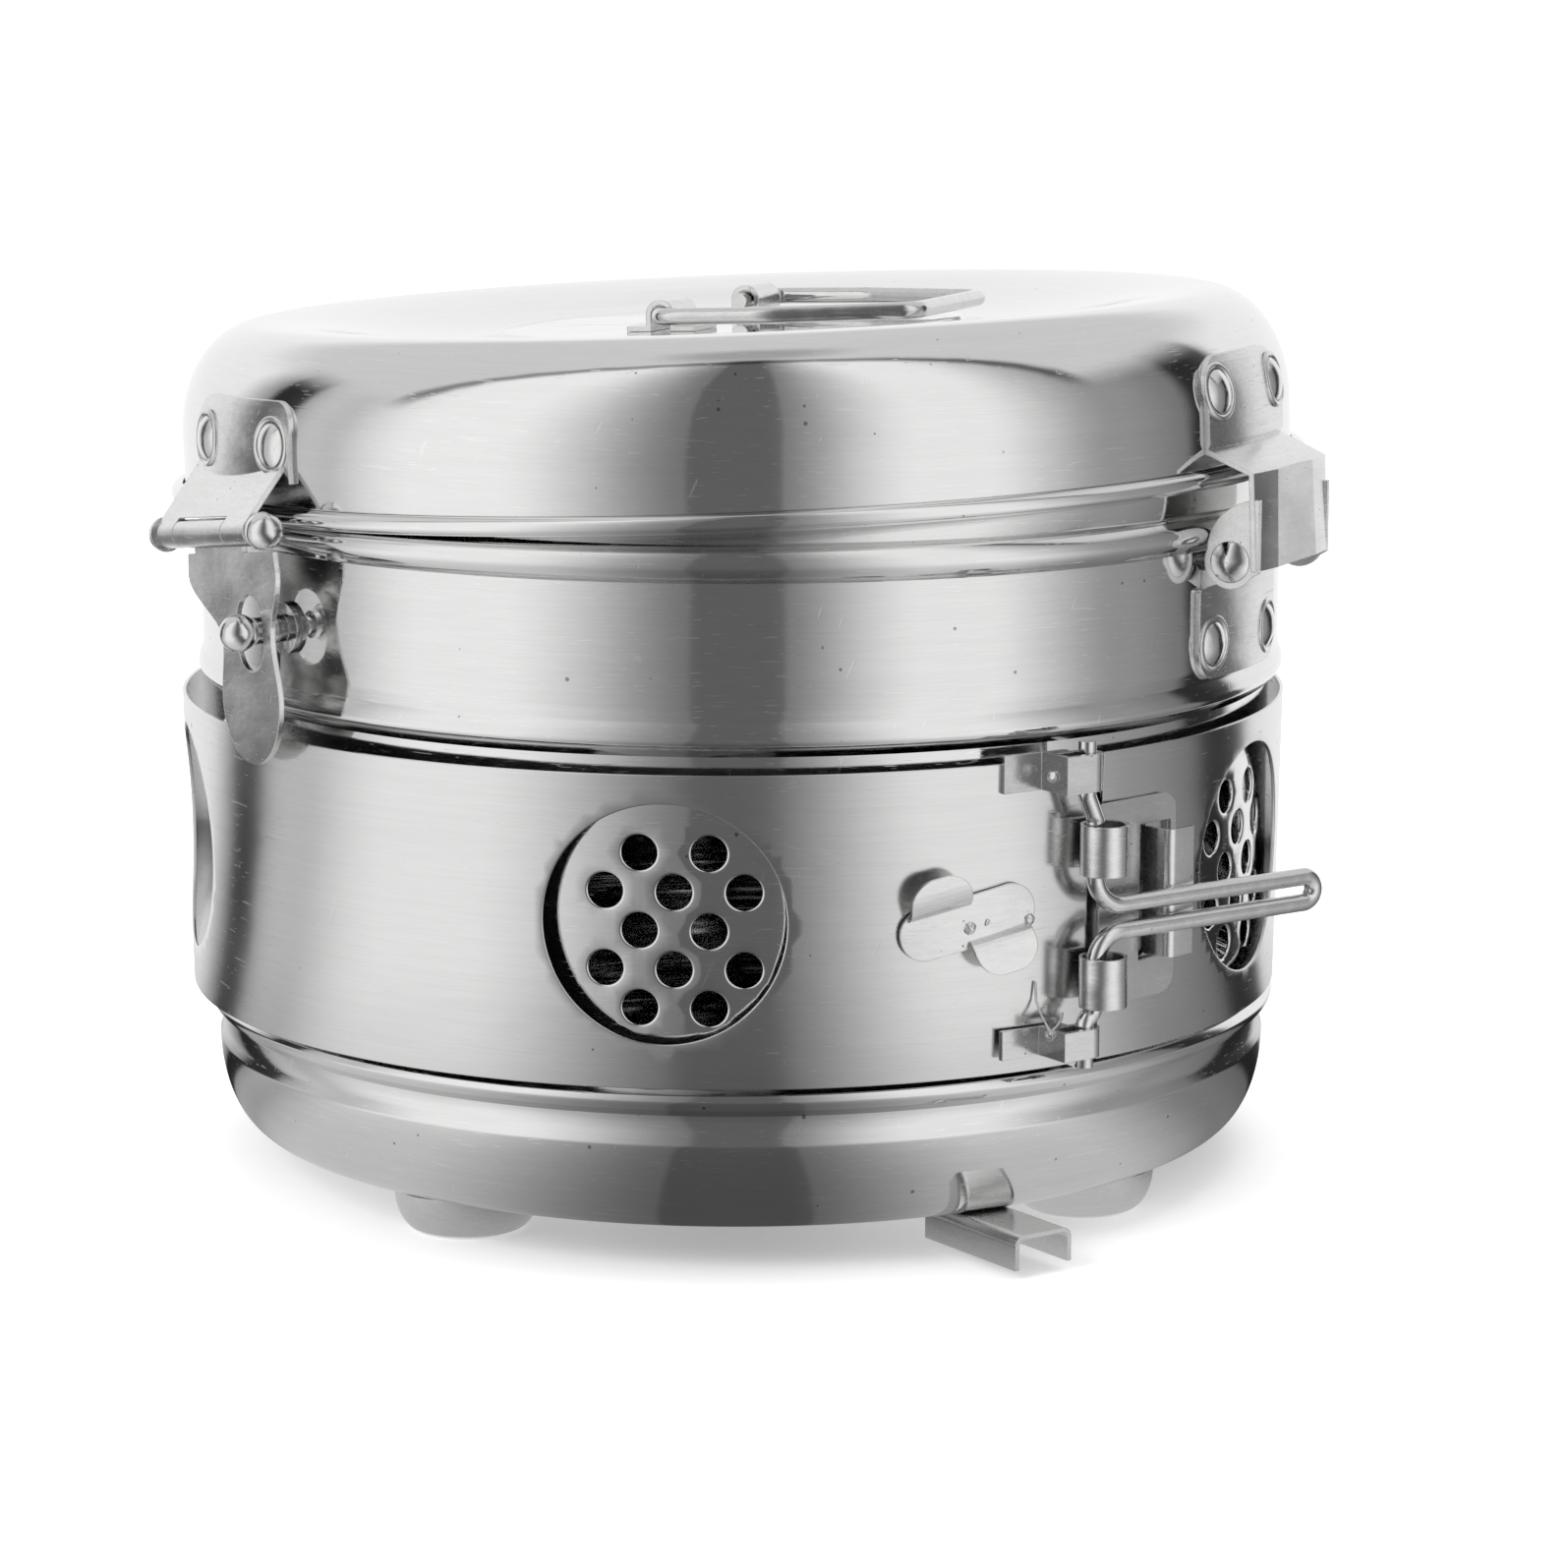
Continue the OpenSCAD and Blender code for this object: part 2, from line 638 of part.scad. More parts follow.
// The flange: a flat sheet that leaves the wall at the fold and meets the knuckles at a tangent
module clasp_flange() {
    lean = [clasp_out - seat - plate, clasp_fold + clasp_drop];
    slope = atan2(lean[0], lean[1]) + asin((clasp_knuckle_r - seat) / norm(lean));
    reach = norm(lean) + (plate + clasp_w * clasp_w / 8 / lid_r) / sin(slope);
    difference() {
        on_clasp() rotate([-slope, 0, 0]) translate([left_end, seat - clasp_knuckle_r, 0])
            cube([right_end - left_end, plate, reach]);
        on_lid() flange_room();
    }
}
// The space behind the flange: the lid's wall and its rolled edge
module flange_room() {
    rotate_extrude($fn = 96) polygon([[0, -clasp_w], [lid_in_r + 2 * hem_r + slip, -clasp_w],
        [lid_in_r + 2 * hem_r + slip, hem_r / 2], [lid_r + plate / 2, clasp_fold],
        [lid_r + plate / 2, clasp_w], [0, clasp_w]]);
}
module at_clasp_rivets() {
    on_lid() at_turn(clasp_turn) for (s = [-1, 1])
        on_rivet(s * rivet_gap / 2, clasp_rivet_h, lid_r_at(clasp_rivet_h) + seat,
            lid_slope_at(clasp_rivet_h)) children();
}
module clasp_rivets() {
    color("gainsboro") at_clasp_rivets() rivet(lid_sheet);
}
module clasp_pin() {
    color("gainsboro") on_clasp() {
        translate([left_end - run, 0, 0]) rotate([0, 90, 0])
            cylinder(r = clasp_pin_r, h = right_end - left_end + 2 * run + clasp_pin_r);
        translate([left_end - run - cap_h, 0, 0]) rotate([0, 90, 0]) cylinder(r = cap_r, h = cap_h);
        translate([right_end + run + ball_d / 2, 0, 0]) sphere(d = ball_d);
    }
}

// Hasp: hangs from the middle knuckle, X along the pin and Y down from it in its outline
hasp_drop = 3;
hasp_mid = 2.6;
hasp_waist = 17;
hasp_flare = 0.4;
ear_share = 0.18;
waist_share = 0.75;
tongue_mid = 6.2;
slot_w = 8.4;
slot_h = 11;
slot_x = 7.4;
slot_drop = 14.6;
module hasp() {
    color("silver") on_clasp() rotate([-hasp_lean, 0, 0]) difference() {
        union() {
            knuckle(left_in + knuckle_gap, right_in - knuckle_gap);
            translate([0, clasp_bore_r, 0]) rotate([90, 0, 0]) mirror([0, 0, 1]) linear_extrude(plate)
                difference() {
                    hasp_outline();
                    translate([slot_x, -slot_drop]) oval(slot_w, slot_h);
                }
        }
        pin_bore(clasp_bore_r);
    }
}
module oval(w, h) {
    for (s = [-1, 1]) translate([0, s * (h - w) / 2]) circle(d = w);
    square([w, h - w], center = true);
}
module hasp_outline() {
    tip_r = hasp_tip_w / 2;
    tip_z = tip_r - hasp_l;
    waist_z = -hasp_drop - hasp_waist * waist_share;
    ear_z = -hasp_drop - hasp_waist * ear_share;
    left = hasp_mid - hasp_top_w / 2;
    right = hasp_mid + hasp_top_w / 2;
    waist_l = tongue_mid - hasp_waist_w / 2;
    waist_r = tongue_mid + hasp_waist_w / 2;
    translate([left_in + knuckle_gap, -hasp_drop - over])
        square([right_in - left_in - 2 * knuckle_gap, hasp_drop + over]);
    translate([tongue_mid, tip_z]) circle(tip_r);
    polygon(concat([[left, -hasp_drop], [right, -hasp_drop]],
        ease(right + hasp_flare, ear_z, waist_r, waist_z),
        ease(waist_r, waist_z, tongue_mid + tip_r, tip_z),
        ease(tongue_mid - tip_r, tip_z, waist_l, waist_z),
        ease(waist_l, waist_z, left - hasp_flare, ear_z)));
}
// A smooth sideways step from one point of an outline to another
function ease(x0, z0, x1, z1) = [for (i = [0 : steps]) let (u = i / steps)
    [x0 + (x1 - x0) * (1 - cos(180 * u)) / 2, z0 + (z1 - z0) * u]];

// Stud: a ball on a grooved neck, on a round base
stud_z = upper_z + stud_rise;
stud_base_r = 3.8;
stud_base_h = 0.9;
stud_neck = 1.4;
stud_collar = 2;
stud_shank = 1.5;
module stud_base() {
    color("silver") at_turn(stud_turn) difference() {
        intersection() {
            sector(4 * stud_base_r, upper_r) translate([upper_r + seat, stud_z - 2 * stud_base_r])
                square([stud_base_h, 4 * stud_base_r]);
            outward(0, upper_r + wall_depth) translate([0, stud_z]) circle(stud_base_r);
        }
        translate([0, -upper_r, stud_z]) rotate([90, 0, 0])
            cylinder(r = stud_shank + seat, h = 2 * wall_depth, center = true);
    }
}
module clasp_stud() {
    foot_y = upper_r + 2 * seat + stud_base_h;
    color("gainsboro") at_turn(stud_turn) translate([0, -foot_y, stud_z]) rotate([90, 0, 0]) {
        reach = upper_r + ball_out - foot_y;
        cylinder(r = stud_neck, h = reach);
        cylinder(r = stud_collar, h = reach / 4);
        translate([0, 0, reach / 2]) cylinder(r = stud_collar, h = reach / 5);
        translate([0, 0, reach]) sphere(d = ball_d);
        translate([0, 0, -wall_depth]) cylinder(r = stud_shank, h = wall_depth);
    }
}

// Bail handle and its lugs, X along the pivot, Y towards the tip
bail_end = bail_w / 2 - bail_bend + slip;
bail_nose_share = 0.3;
bail_knee_shares = [0.94, 0.45];
module on_bail() {
    on_lid() rotate([0, 0, bail_turn]) translate([0, bail_back, disc_z + bail_h]) mirror([0, 1, 0])
        children();
}
module lug(s) {
    arch = bail_wire / 2 + slip;
    color("silver") on_bail() translate([s * (bail_end - lug_w / 2), 0, 0]) across_lug() difference() {
        union() {
            circle(arch + lug_sheet);
            translate([-arch - lug_sheet, -bail_h + seat]) square([2 * (arch + lug_sheet), bail_h - seat]);
            translate([-arch - lug_sheet - lug_foot, -bail_h + seat])
                square([2 * (arch + lug_sheet + lug_foot), lug_sheet]);
        }
        circle(arch);
        translate([-arch, -bail_h - over]) square([2 * arch, bail_h + over]);
    }
}
// Extrudes an outline of Y and height along X, over a strap's width, centred
module across_lug() {
    translate([-lug_w / 2, 0, 0]) rotate([90, 0, 90]) linear_extrude(lug_w) children();
}
module bail_handle() {
    half = bail_w / 2;
    inner = bail_end - lug_w - bail_wire;
    nose = bail_w * bail_nose_share;
    knee = [half * bail_knee_shares[0], bail_l * bail_knee_shares[1]];
    color("gainsboro") on_bail() bent_wire([[-inner, 0], [-half, 0], [-knee[0], knee[1]],
        [-nose, bail_l], [nose, bail_l], knee, [half, 0], [inner, 0]],
        bail_bend, bail_wire / 2);
}

// Sliding band: its own frame lies band_shift to the left of the drum's
band_r = drum_r + band_out;
band_z = recess_z - band_rise;
band_h = recess_h + band_rise - band_top_gap;
band_mid_r = band_r + band_flare / 2;
band_top_r = band_r + band_flare;
split_turn = 37.9;
window_rise = 0.1;
window_z = recess_z + recess_h / 2 + window_rise;
module on_band() {
    translate([-band_shift, 0, 0]) children();
}
window_d = band_h - 2 * window_rim;
link_h = band_h - 2 * link_rim;
tongue_rim = 5.05;
tongue_h = link_h - 2 * tongue_rim;
tongue_rise = 0.1;
tongue_z = window_z + tongue_rise - tongue_h / 2;
tongue_x = 1.2;
tongue_l = 5.2;
tongue_cut = 5.6;
module shutter_band() {
    split = split_w / band_r * 180 / PI;
    color("silver") on_band() {
        difference() {
            rotate([0, 0, split_turn - 90 + split / 2]) rotate_extrude(angle = 360 - split, $fn = 120)
                polygon([[band_r - band_sheet, band_z], [band_r, band_z],
                    [band_top_r, band_z + band_h], [band_top_r - band_sheet, band_z + band_h]]);
            for (g = [0 : vent_groups - 1])
                at_turn(vent_turn + g * 360 / vent_groups) translate([0, -band_r, window_z])
                    rotate([90, 0, 0]) cylinder(d = window_d, h = 4 * wall_depth, center = true, $fn = 64);
            at_turn(link_turn) translate([tongue_x - tongue_cut, -band_r - wall_depth, tongue_z])
                cube([tongue_cut, 2 * wall_depth, tongue_h]);
        }
        at_turn(link_turn) tongue();
    }
}
// The hook: a tongue lanced from the band, raised through the link plate and folded to the right
module tongue() {
    low = sqrt(pow(band_r, 2) - pow(tongue_x + tongue_l, 2)) - band_sheet / 2;
    top = link_in + link_sheet + slip;
    translate([tongue_x, -top - band_sheet, tongue_z]) cube([band_sheet, top + band_sheet - low, tongue_h]);
    translate([tongue_x, -top - band_sheet, tongue_z]) cube([tongue_l, band_sheet, tongue_h]);
}

// Latch: the pivot's frame has X along the band to the right, -Y outward
wire_r = latch_wire_d / 2;
pivot_d = band_r + pivot_out;
bracket_bore = wire_r + run;
bracket_tail = 5.1;
bracket_tab = 6.5;
upper_bracket_drop = 4.1;
upper_bracket_z = band_z + band_h - upper_bracket_drop;
upper_bracket_h = 5.4;
lower_bracket_rise = 2.3;
lower_bracket_z = band_z + lower_bracket_rise;
lower_bracket_h = 4.2;
wire_end = 1.6;
module on_pivot() {
    on_band() at_turn(latch_turn) translate([0, -pivot_d, 0]) children();
}
// A bracket: a strap welded to the band, run round the wire and back
module bracket(z, h) {
    outer = bracket_bore + strap;
    color("silver") on_pivot() translate([0, 0, z]) difference() {
        union() {
            linear_extrude(h) difference() {
                union() {
                    circle(outer);
                    translate([-bracket_tail, -outer]) square([bracket_tail, 2 * outer]);
                }
                circle(bracket_bore);
                translate([strap - bracket_tail, -bracket_bore])
                    square([bracket_tail - strap, 2 * bracket_bore]);
            }
            bracket_tab_plate(h, outer);
        }
        on_wall_cut(h);
    }
}
module bracket_tab_plate(h, outer) {
    left = bracket_tail + bracket_tab;
    wall = pivot_out + left * left / 2 / band_r;
    linear_extrude(h) polygon([[-bracket_tail, outer], [strap - bracket_tail, outer - strap],
        [-wire_r, outer - strap], [-wire_r, wall], [-left, wall], [-left, wall - 2 * strap - seat],
        [-bracket_tail, pivot_out - strap]]);
}
// Trims a bracket to the band's surface
module on_wall_cut(h) {
    translate([0, pivot_d, -over]) cylinder(r = band_top_r + seat, h = h + 2 * over, $fn = 120);
}

// The wire, in the plane of its cranks: X from the pivot outwards along the handle, Y up
mid_drop = 2;
mid_z = tongue_z + tongue_h / 2 - mid_drop;
crank_low = 1.4;
link_rise = 1.2;
link_mid = mid_z + link_rise;
upper_knuckle_in = 2;
lower_knuckle_in = 1.1;
upper_knuckle_z = link_mid + link_h / 2 - knuckle_h - upper_knuckle_in;
lower_knuckle_z = link_mid - link_h / 2 + lower_knuckle_in;
module latch_wire() {
    upper = [[0, upper_bracket_z + upper_bracket_h + wire_end], [0, upper_bracket_z - crank_low / 2],
        [crank, upper_knuckle_z + knuckle_h + crank_low / 2], [crank, mid_z + lever_gap / 2],
        [lever_l - lever_gap / 2, mid_z + lever_gap / 2]];
    lower = [[0, lower_bracket_z - wire_end], [0, lower_bracket_z + lower_bracket_h + crank_low / 2],
        [crank, lower_knuckle_z - crank_low / 2], [crank, mid_z - lever_gap / 2],
        [lever_l - lever_gap / 2, mid_z - lever_gap / 2]];
    color("gainsboro") on_pivot() rotate([90, 0, 0]) {
        crank_wire(upper);
        crank_wire(lower);
        wire_bend([lever_l - lever_gap / 2, mid_z - lever_gap / 2], 0, 180, lever_gap / 2, wire_r);
    }
}
// One half of the wire: small bends at the crank, a wide one into the handle's leg
crank_bend = 1.6;
module crank_wire(p) {
    n = len(p) - 1;
    turn = wrap(heading(p[n - 1], p[n]) - heading(p[n - 2], p[n - 1]));
    start = p[n - 1] - lever_bend * unit(p[n - 1] - p[n - 2]);
    bent_wire([p[0], p[1], p[2], start], crank_bend, wire_r);
    wire_bend(start, heading(p[n - 2], p[n - 1]), turn, lever_bend, wire_r);
    wire_run(p[n - 1] + lever_bend * unit(p[n] - p[n - 1]), p[n], wire_r);
}

// Link plate: flat, with two knuckles rolled round the cranks
turn_between = link_turn - latch_turn;
knuckle_set_out = 0.9;
knuckle_set_x = 2.8;
link_in = pivot_d * cos(turn_between) + knuckle_set_out - knuckle_d / 2;
knuckle_x = knuckle_set_x - pivot_d * sin(turn_between);
link_left = -9.4;
link_bar = 1.2;
link_slot_x = -0.9;
link_slot_end = tongue_x + band_sheet + link_travel + slip;
link_round = 3;
module link_plate() {
    color("silver") on_band() at_turn(link_turn) translate([0, -link_in, 0]) difference() {
        union() {
            rotate([90, 0, 0]) linear_extrude(link_sheet) difference() {
                translate([0, link_mid - link_h / 2]) link_outline();
                translate([link_slot_x, tongue_z - slip])
                    square([link_slot_end - link_slot_x, tongue_h + 2 * slip]);
            }
            for (z = [upper_knuckle_z, lower_knuckle_z]) translate([knuckle_x, -knuckle_d / 2, z]) {
                cylinder(d = knuckle_d, h = knuckle_h);
                translate([0, knuckle_d / 2 - link_sheet, 0])
                    cube([link_left - knuckle_x + over, link_sheet, knuckle_h]);
            }
        }
        for (z = [upper_knuckle_z, lower_knuckle_z]) translate([knuckle_x, -knuckle_d / 2, z - over])
            cylinder(d = knuckle_d - 2 * link_sheet, h = knuckle_h + 2 * over);
    }
}
module link_outline() {
    w = link_slot_end + link_bar - link_left;
    difference() {
        translate([link_left, 0]) square([w, link_h]);
        translate([link_left + w, 0]) nip(90, link_round);
        translate([link_left + w, link_h]) nip(180, link_round);
    }
}

// Keeper clip: X along its sloping base, Z across it, -Y outward
keeper_sheet = 0.6;
keeper_drop = 0.8;
keeper_z = window_z - keeper_drop;
lobe_w = 9.5;
lobe_rise = 5;
lobe_x = -4.2;
lobe_out = 2.2;
lobe_round_share = 0.4;
module keeper_clip() {
    color("silver") on_band() at_turn(keeper_turn) translate([0, -band_mid_r, keeper_z])
        rotate([0, -keeper_slope, 0]) {
            keeper_base();
            keeper_lobe(lobe_x, 1);
            keeper_lobe(-lobe_x, -1);
        }
}
// The base follows the band's curve
module keeper_base() {
    translate([0, band_mid_r, 0]) intersection() {
        sector(keeper_l + over, band_mid_r) translate([band_mid_r + band_flare / 2 + seat, -keeper_w / 2])
            square([keeper_sheet, keeper_w]);
        outward(0, 2 * band_mid_r) square([keeper_l, keeper_w], center = true);
        outward(0, 2 * band_mid_r) rotate(90) oval(keeper_w, keeper_l);
    }
}
// A jaw bends out of the base's edge and flares, up for s = 1 and down for s = -1
module keeper_lobe(x, s) {
    path = [for (i = [0 : steps]) let (u = i / steps) [-lobe_out * sin(90 * u), lobe_rise * u * u]];
    translate([x, 0, 0]) mirror([0, 0, s > 0 ? 0 : 1])
        translate([0, -band_flare / 2 - 2 * seat, keeper_w / 2 - keeper_sheet - seat]) intersection() {
            translate([-lobe_w / 2, 0, 0]) rotate([90, 0, 90]) linear_extrude(lobe_w)
                polygon(sheet_of(path, keeper_sheet));
            translate([0, keeper_sheet, 0]) rotate([90, 0, 0]) linear_extrude(2 * lobe_rise)
                translate([0, -lobe_rise]) tab(lobe_w, 2 * lobe_rise, 0, lobe_w * lobe_round_share);
        }
}

drum_body();
foot(0);  // foot_front_left
foot(1);  // foot_front_right
foot(2);  // foot_rear_right
foot(3);  // foot_rear_left
base_channel();
body_hinge_plate();
body_hinge_rivets();
hinge_pin();
stud_base();
clasp_stud();
lid_shell();
lid_hinge_plate();
lid_hinge_rivets();
clasp_plate();
clasp_rivets();
clasp_pin();
lug(-1);  // handle_lug_near
lug(1);  // handle_lug_far
bail_handle();
hasp();
shutter_band();
bracket(upper_bracket_z, upper_bracket_h);  // latch_bracket_upper
bracket(lower_bracket_z, lower_bracket_h);  // latch_bracket_lower
keeper_clip();
latch_wire();
link_plate();
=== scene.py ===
import math

import bmesh
import bpy
from mathutils import Matrix, Vector, geometry, noise


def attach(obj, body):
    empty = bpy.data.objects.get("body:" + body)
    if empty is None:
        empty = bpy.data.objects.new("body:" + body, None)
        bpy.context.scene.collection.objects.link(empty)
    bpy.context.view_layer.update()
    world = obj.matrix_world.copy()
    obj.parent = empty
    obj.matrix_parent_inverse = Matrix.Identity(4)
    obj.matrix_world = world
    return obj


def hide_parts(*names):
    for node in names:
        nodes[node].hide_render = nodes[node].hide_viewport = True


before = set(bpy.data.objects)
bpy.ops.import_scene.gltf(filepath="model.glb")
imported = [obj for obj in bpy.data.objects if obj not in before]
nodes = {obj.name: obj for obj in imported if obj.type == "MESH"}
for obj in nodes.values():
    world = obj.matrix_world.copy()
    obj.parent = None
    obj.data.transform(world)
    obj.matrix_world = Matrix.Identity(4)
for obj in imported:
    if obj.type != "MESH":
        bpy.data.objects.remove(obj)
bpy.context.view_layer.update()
mm = 0.001
noise.seed_set(7)  # without it, noise_vector follows the clock
print("frame loaded:", len(nodes), "nodes")


# Places, the same as in the part's source ---------------------------------

def turned(degrees):
    return Matrix.Rotation(math.radians(degrees), 4, "Z")


def tipped(degrees):
    return Matrix.Rotation(math.radians(degrees), 4, "X")


def rolled(degrees):
    return Matrix.Rotation(math.radians(degrees), 4, "Y")


def moved(x, y, z):
    return Matrix.Translation((x * mm, y * mm, z * mm))


lidSettings = {
    "turn": 63, "side": 0.8, "back": 0.8, "height": 106.35, "tilt": 2.43,
    "radius": 84.35, "sheet": 0.5, "wall": 8.2, "shoulderWidth": 12, "shoulderHeight": 16.6,
    "dishFloor": 20.0, "dishDepth": 4.8, "discRadius": 37, "discHeight": 21.7, "discEdge": 2.2,
    "hem": 1.35, "segments": 360,
}
drumSettings = {
    "radius": 81, "sheet": 0.6, "under": 6.5, "cornerWidth": 6.5, "cornerHeight": 13.5,
    "strip": 24, "stripIn": 0.4, "beadHeight": 4.7, "beadOut": 1.4,
    "recess": 28.7, "ridge": 75.1, "ridgeHeight": 5.1, "ridgeOut": 2.1,
    "upperRadius": 82.35, "bulge": 99.4, "bulgeHeight": 5.6, "bulgeOut": 1.65,
    "rim": 110.3, "rimRadius": 1.2, "neckTaper": 0.4, "rimTurn": 235, "segments": 360,
}
ventSettings = {
    "groups": 5, "turn": -6.1, "diameter": 5.2, "row": 5.5, "pitch": 9.8, "rows": [2, 3, 2, 3, 2],
}
bandSettings = {
    "radius": 83.7, "sheet": 0.5, "bottom": 28.6, "height": 44.5, "flare": 0.8, "shift": 1.15,
    "window": 34.4, "windowHeight": 52.0, "split": 2.5, "splitTurn": 37.9, "segments": 360,
    "tongueTurn": 44, "tongueX": 1.2, "tongueLength": 5.2, "tongueBottom": 42.5,
    "tongueHeight": 19.2, "tongueCut": 5.6, "tongueOut": 5.0,
}
lidPlace = (turned(lidSettings["turn"])
            @ moved(lidSettings["side"], lidSettings["back"], lidSettings["height"])
            @ tipped(-lidSettings["tilt"]) @ turned(-lidSettings["turn"]))
bailPlace = lidPlace @ turned(66.6) @ moved(0, 3, 24.1) @ Matrix.Scale(-1, 4, (0, 1, 0))
bandPlace = moved(-bandSettings["shift"], 0, 0)
pivotPlace = bandPlace @ turned(34.6) @ moved(0, -88.3, 0) @ tipped(90)
claspPlace = lidPlace @ turned(-57.5) @ moved(0, -89.35, -2.6) @ rolled(-5)
keeperPlace = bandPlace @ turned(23.3) @ moved(0, -84.1, 51.2) @ rolled(-11)


# Node groups ---------------------------------------------------------------

def newGroup(name, inputs, outputs):
    group = bpy.data.node_groups.new(name, "ShaderNodeTree")
    for label, kind, value in inputs:
        socket = group.interface.new_socket(label, in_out="INPUT", socket_type=kind)
        if value is not None:
            socket.default_value = value
    for label, kind in outputs:
        group.interface.new_socket(label, in_out="OUTPUT", socket_type=kind)
    return group, group.nodes.new("NodeGroupInput"), group.nodes.new("NodeGroupOutput")


def addMath(tree, operation, first, second=None, clamp=False):
    node = tree.nodes.new("ShaderNodeMath")
    node.operation = operation
    node.use_clamp = clamp
    for index, value in enumerate((first, second)):
        if value is None:
            continue
        if isinstance(value, (int, float)):
            node.inputs[index].default_value = value
        else:
            tree.links.new(value, node.inputs[index])
    return node.outputs[0]


def addRange(tree, value, low, high, start, end):
    node = tree.nodes.new("ShaderNodeMapRange")
    node.interpolation_type = "SMOOTHSTEP"
    tree.links.new(value, node.inputs["Value"])
    for label, number in (("From Min", low), ("From Max", high), ("To Min", start), ("To Max", end)):
        if isinstance(number, (int, float)):
            node.inputs[label].default_value = number
        else:
            tree.links.new(number, node.inputs[label])
    return node.outputs["Result"]


def addNoise(tree, vector, scale, detail=2.0, roughness=0.5):
    node = tree.nodes.new("ShaderNodeTexNoise")
    node.inputs["Detail"].default_value = detail
    node.inputs["Roughness"].default_value = roughness
    tree.links.new(vector, node.inputs["Vector"])
    if isinstance(scale, (int, float)):
        node.inputs["Scale"].default_value = scale
    else:
        tree.links.new(scale, node.inputs["Scale"])
    return node.outputs["Fac"]


def addCombine(tree, x, y, z):
    node = tree.nodes.new("ShaderNodeCombineXYZ")
    for index, value in enumerate((x, y, z)):
        if isinstance(value, (int, float)):
            node.inputs[index].default_value = value
        else:
            tree.links.new(value, node.inputs[index])
    return node.outputs[0]


def makeUnrollGroup():
    # Unrolls the jar's round wall: X runs along it, Y up, Z outward
    group, source, target = newGroup("unrolledWall", [("Point", "NodeSocketVector", None)],
                                     [("Flat", "NodeSocketVector")])
    split = group.nodes.new("ShaderNodeSeparateXYZ")
    group.links.new(source.outputs["Point"], split.inputs[0])
    angle = addMath(group, "ARCTAN2", split.outputs[0], addMath(group, "MULTIPLY", split.outputs[1], -1))
    along = addMath(group, "MULTIPLY", angle, 0.083)
    square = addMath(group, "ADD", addMath(group, "MULTIPLY", split.outputs[0], split.outputs[0]),
                     addMath(group, "MULTIPLY", split.outputs[1], split.outputs[1]))
    out = addMath(group, "SQRT", square)
    group.links.new(addCombine(group, along, split.outputs[2], out), target.inputs["Flat"])
    return group


def makeGrainGroup():
    # Brushed grain: long fine lines along X of the point, in two widths
    group, source, target = newGroup(
        "brushedGrain",
        [("Point", "NodeSocketVector", None), ("Fineness", "NodeSocketFloat", 1.0),
         ("Length", "NodeSocketFloat", 40.0)],
        [("Tone", "NodeSocketFloat"), ("Height", "NodeSocketFloat")])
    split = group.nodes.new("ShaderNodeSeparateXYZ")
    group.links.new(source.outputs["Point"], split.inputs[0])
    across = addMath(group, "MULTIPLY", source.outputs["Fineness"], 1.0)
    x = addMath(group, "DIVIDE", split.outputs[0], source.outputs["Length"])
    lines = addCombine(group, x, split.outputs[1], split.outputs[2])
    fine = addNoise(group, lines, addMath(group, "MULTIPLY", across, 4200), 3.0, 0.6)
    broad = addNoise(group, lines, addMath(group, "MULTIPLY", across, 900), 2.0, 0.5)
    both = addMath(group, "ADD", addMath(group, "MULTIPLY", fine, 0.62), addMath(group, "MULTIPLY", broad, 0.38))
    group.links.new(addRange(group, both, 0.34, 0.66, 0, 1), target.inputs["Tone"])
    group.links.new(both, target.inputs["Height"])
    return group


def makeScratchGroup():
    # Single scratches: thin broken dashes along X, and a few that cross them
    group, source, target = newGroup(
        "singleScratches",
        [("Point", "NodeSocketVector", None), ("Density", "NodeSocketFloat", 0.5),
         ("Scale", "NodeSocketFloat", 1.0)],
        [("Mask", "NodeSocketFloat"), ("Height", "NodeSocketFloat")])
    split = group.nodes.new("ShaderNodeSeparateXYZ")
    group.links.new(source.outputs["Point"], split.inputs[0])
    masks = []
    for turn, stretch, size, cut in ((0.02, 9, 3400, 0.685), (-0.035, 16, 2100, 0.7), (1.15, 9, 1300, 0.75)):
        x = addMath(group, "ADD", addMath(group, "MULTIPLY", split.outputs[0], math.cos(turn)),
                    addMath(group, "MULTIPLY", split.outputs[1], math.sin(turn)))
        y = addMath(group, "SUBTRACT", addMath(group, "MULTIPLY", split.outputs[1], math.cos(turn)),
                    addMath(group, "MULTIPLY", split.outputs[0], math.sin(turn)))
        flat = addCombine(group, addMath(group, "DIVIDE", x, stretch), y, split.outputs[2])
        value = addNoise(group, flat, addMath(group, "MULTIPLY", source.outputs["Scale"], size), 1.0, 0.4)
        patch = addNoise(group, source.outputs["Point"], 60 + size / 30, 2.0, 0.6)
        level = addMath(group, "SUBTRACT", cut + 0.1,
                        addMath(group, "MULTIPLY", source.outputs["Density"],
                                addMath(group, "MULTIPLY", patch, 0.3)))
        masks.append(addRange(group, value, level, addMath(group, "ADD", level, 0.035), 0, 1))
    total = addMath(group, "MAXIMUM", addMath(group, "MAXIMUM", masks[0], masks[1]), masks[2], True)
    group.links.new(total, target.inputs["Mask"])
    group.links.new(addMath(group, "MULTIPLY", total, -1), target.inputs["Height"])
    return group


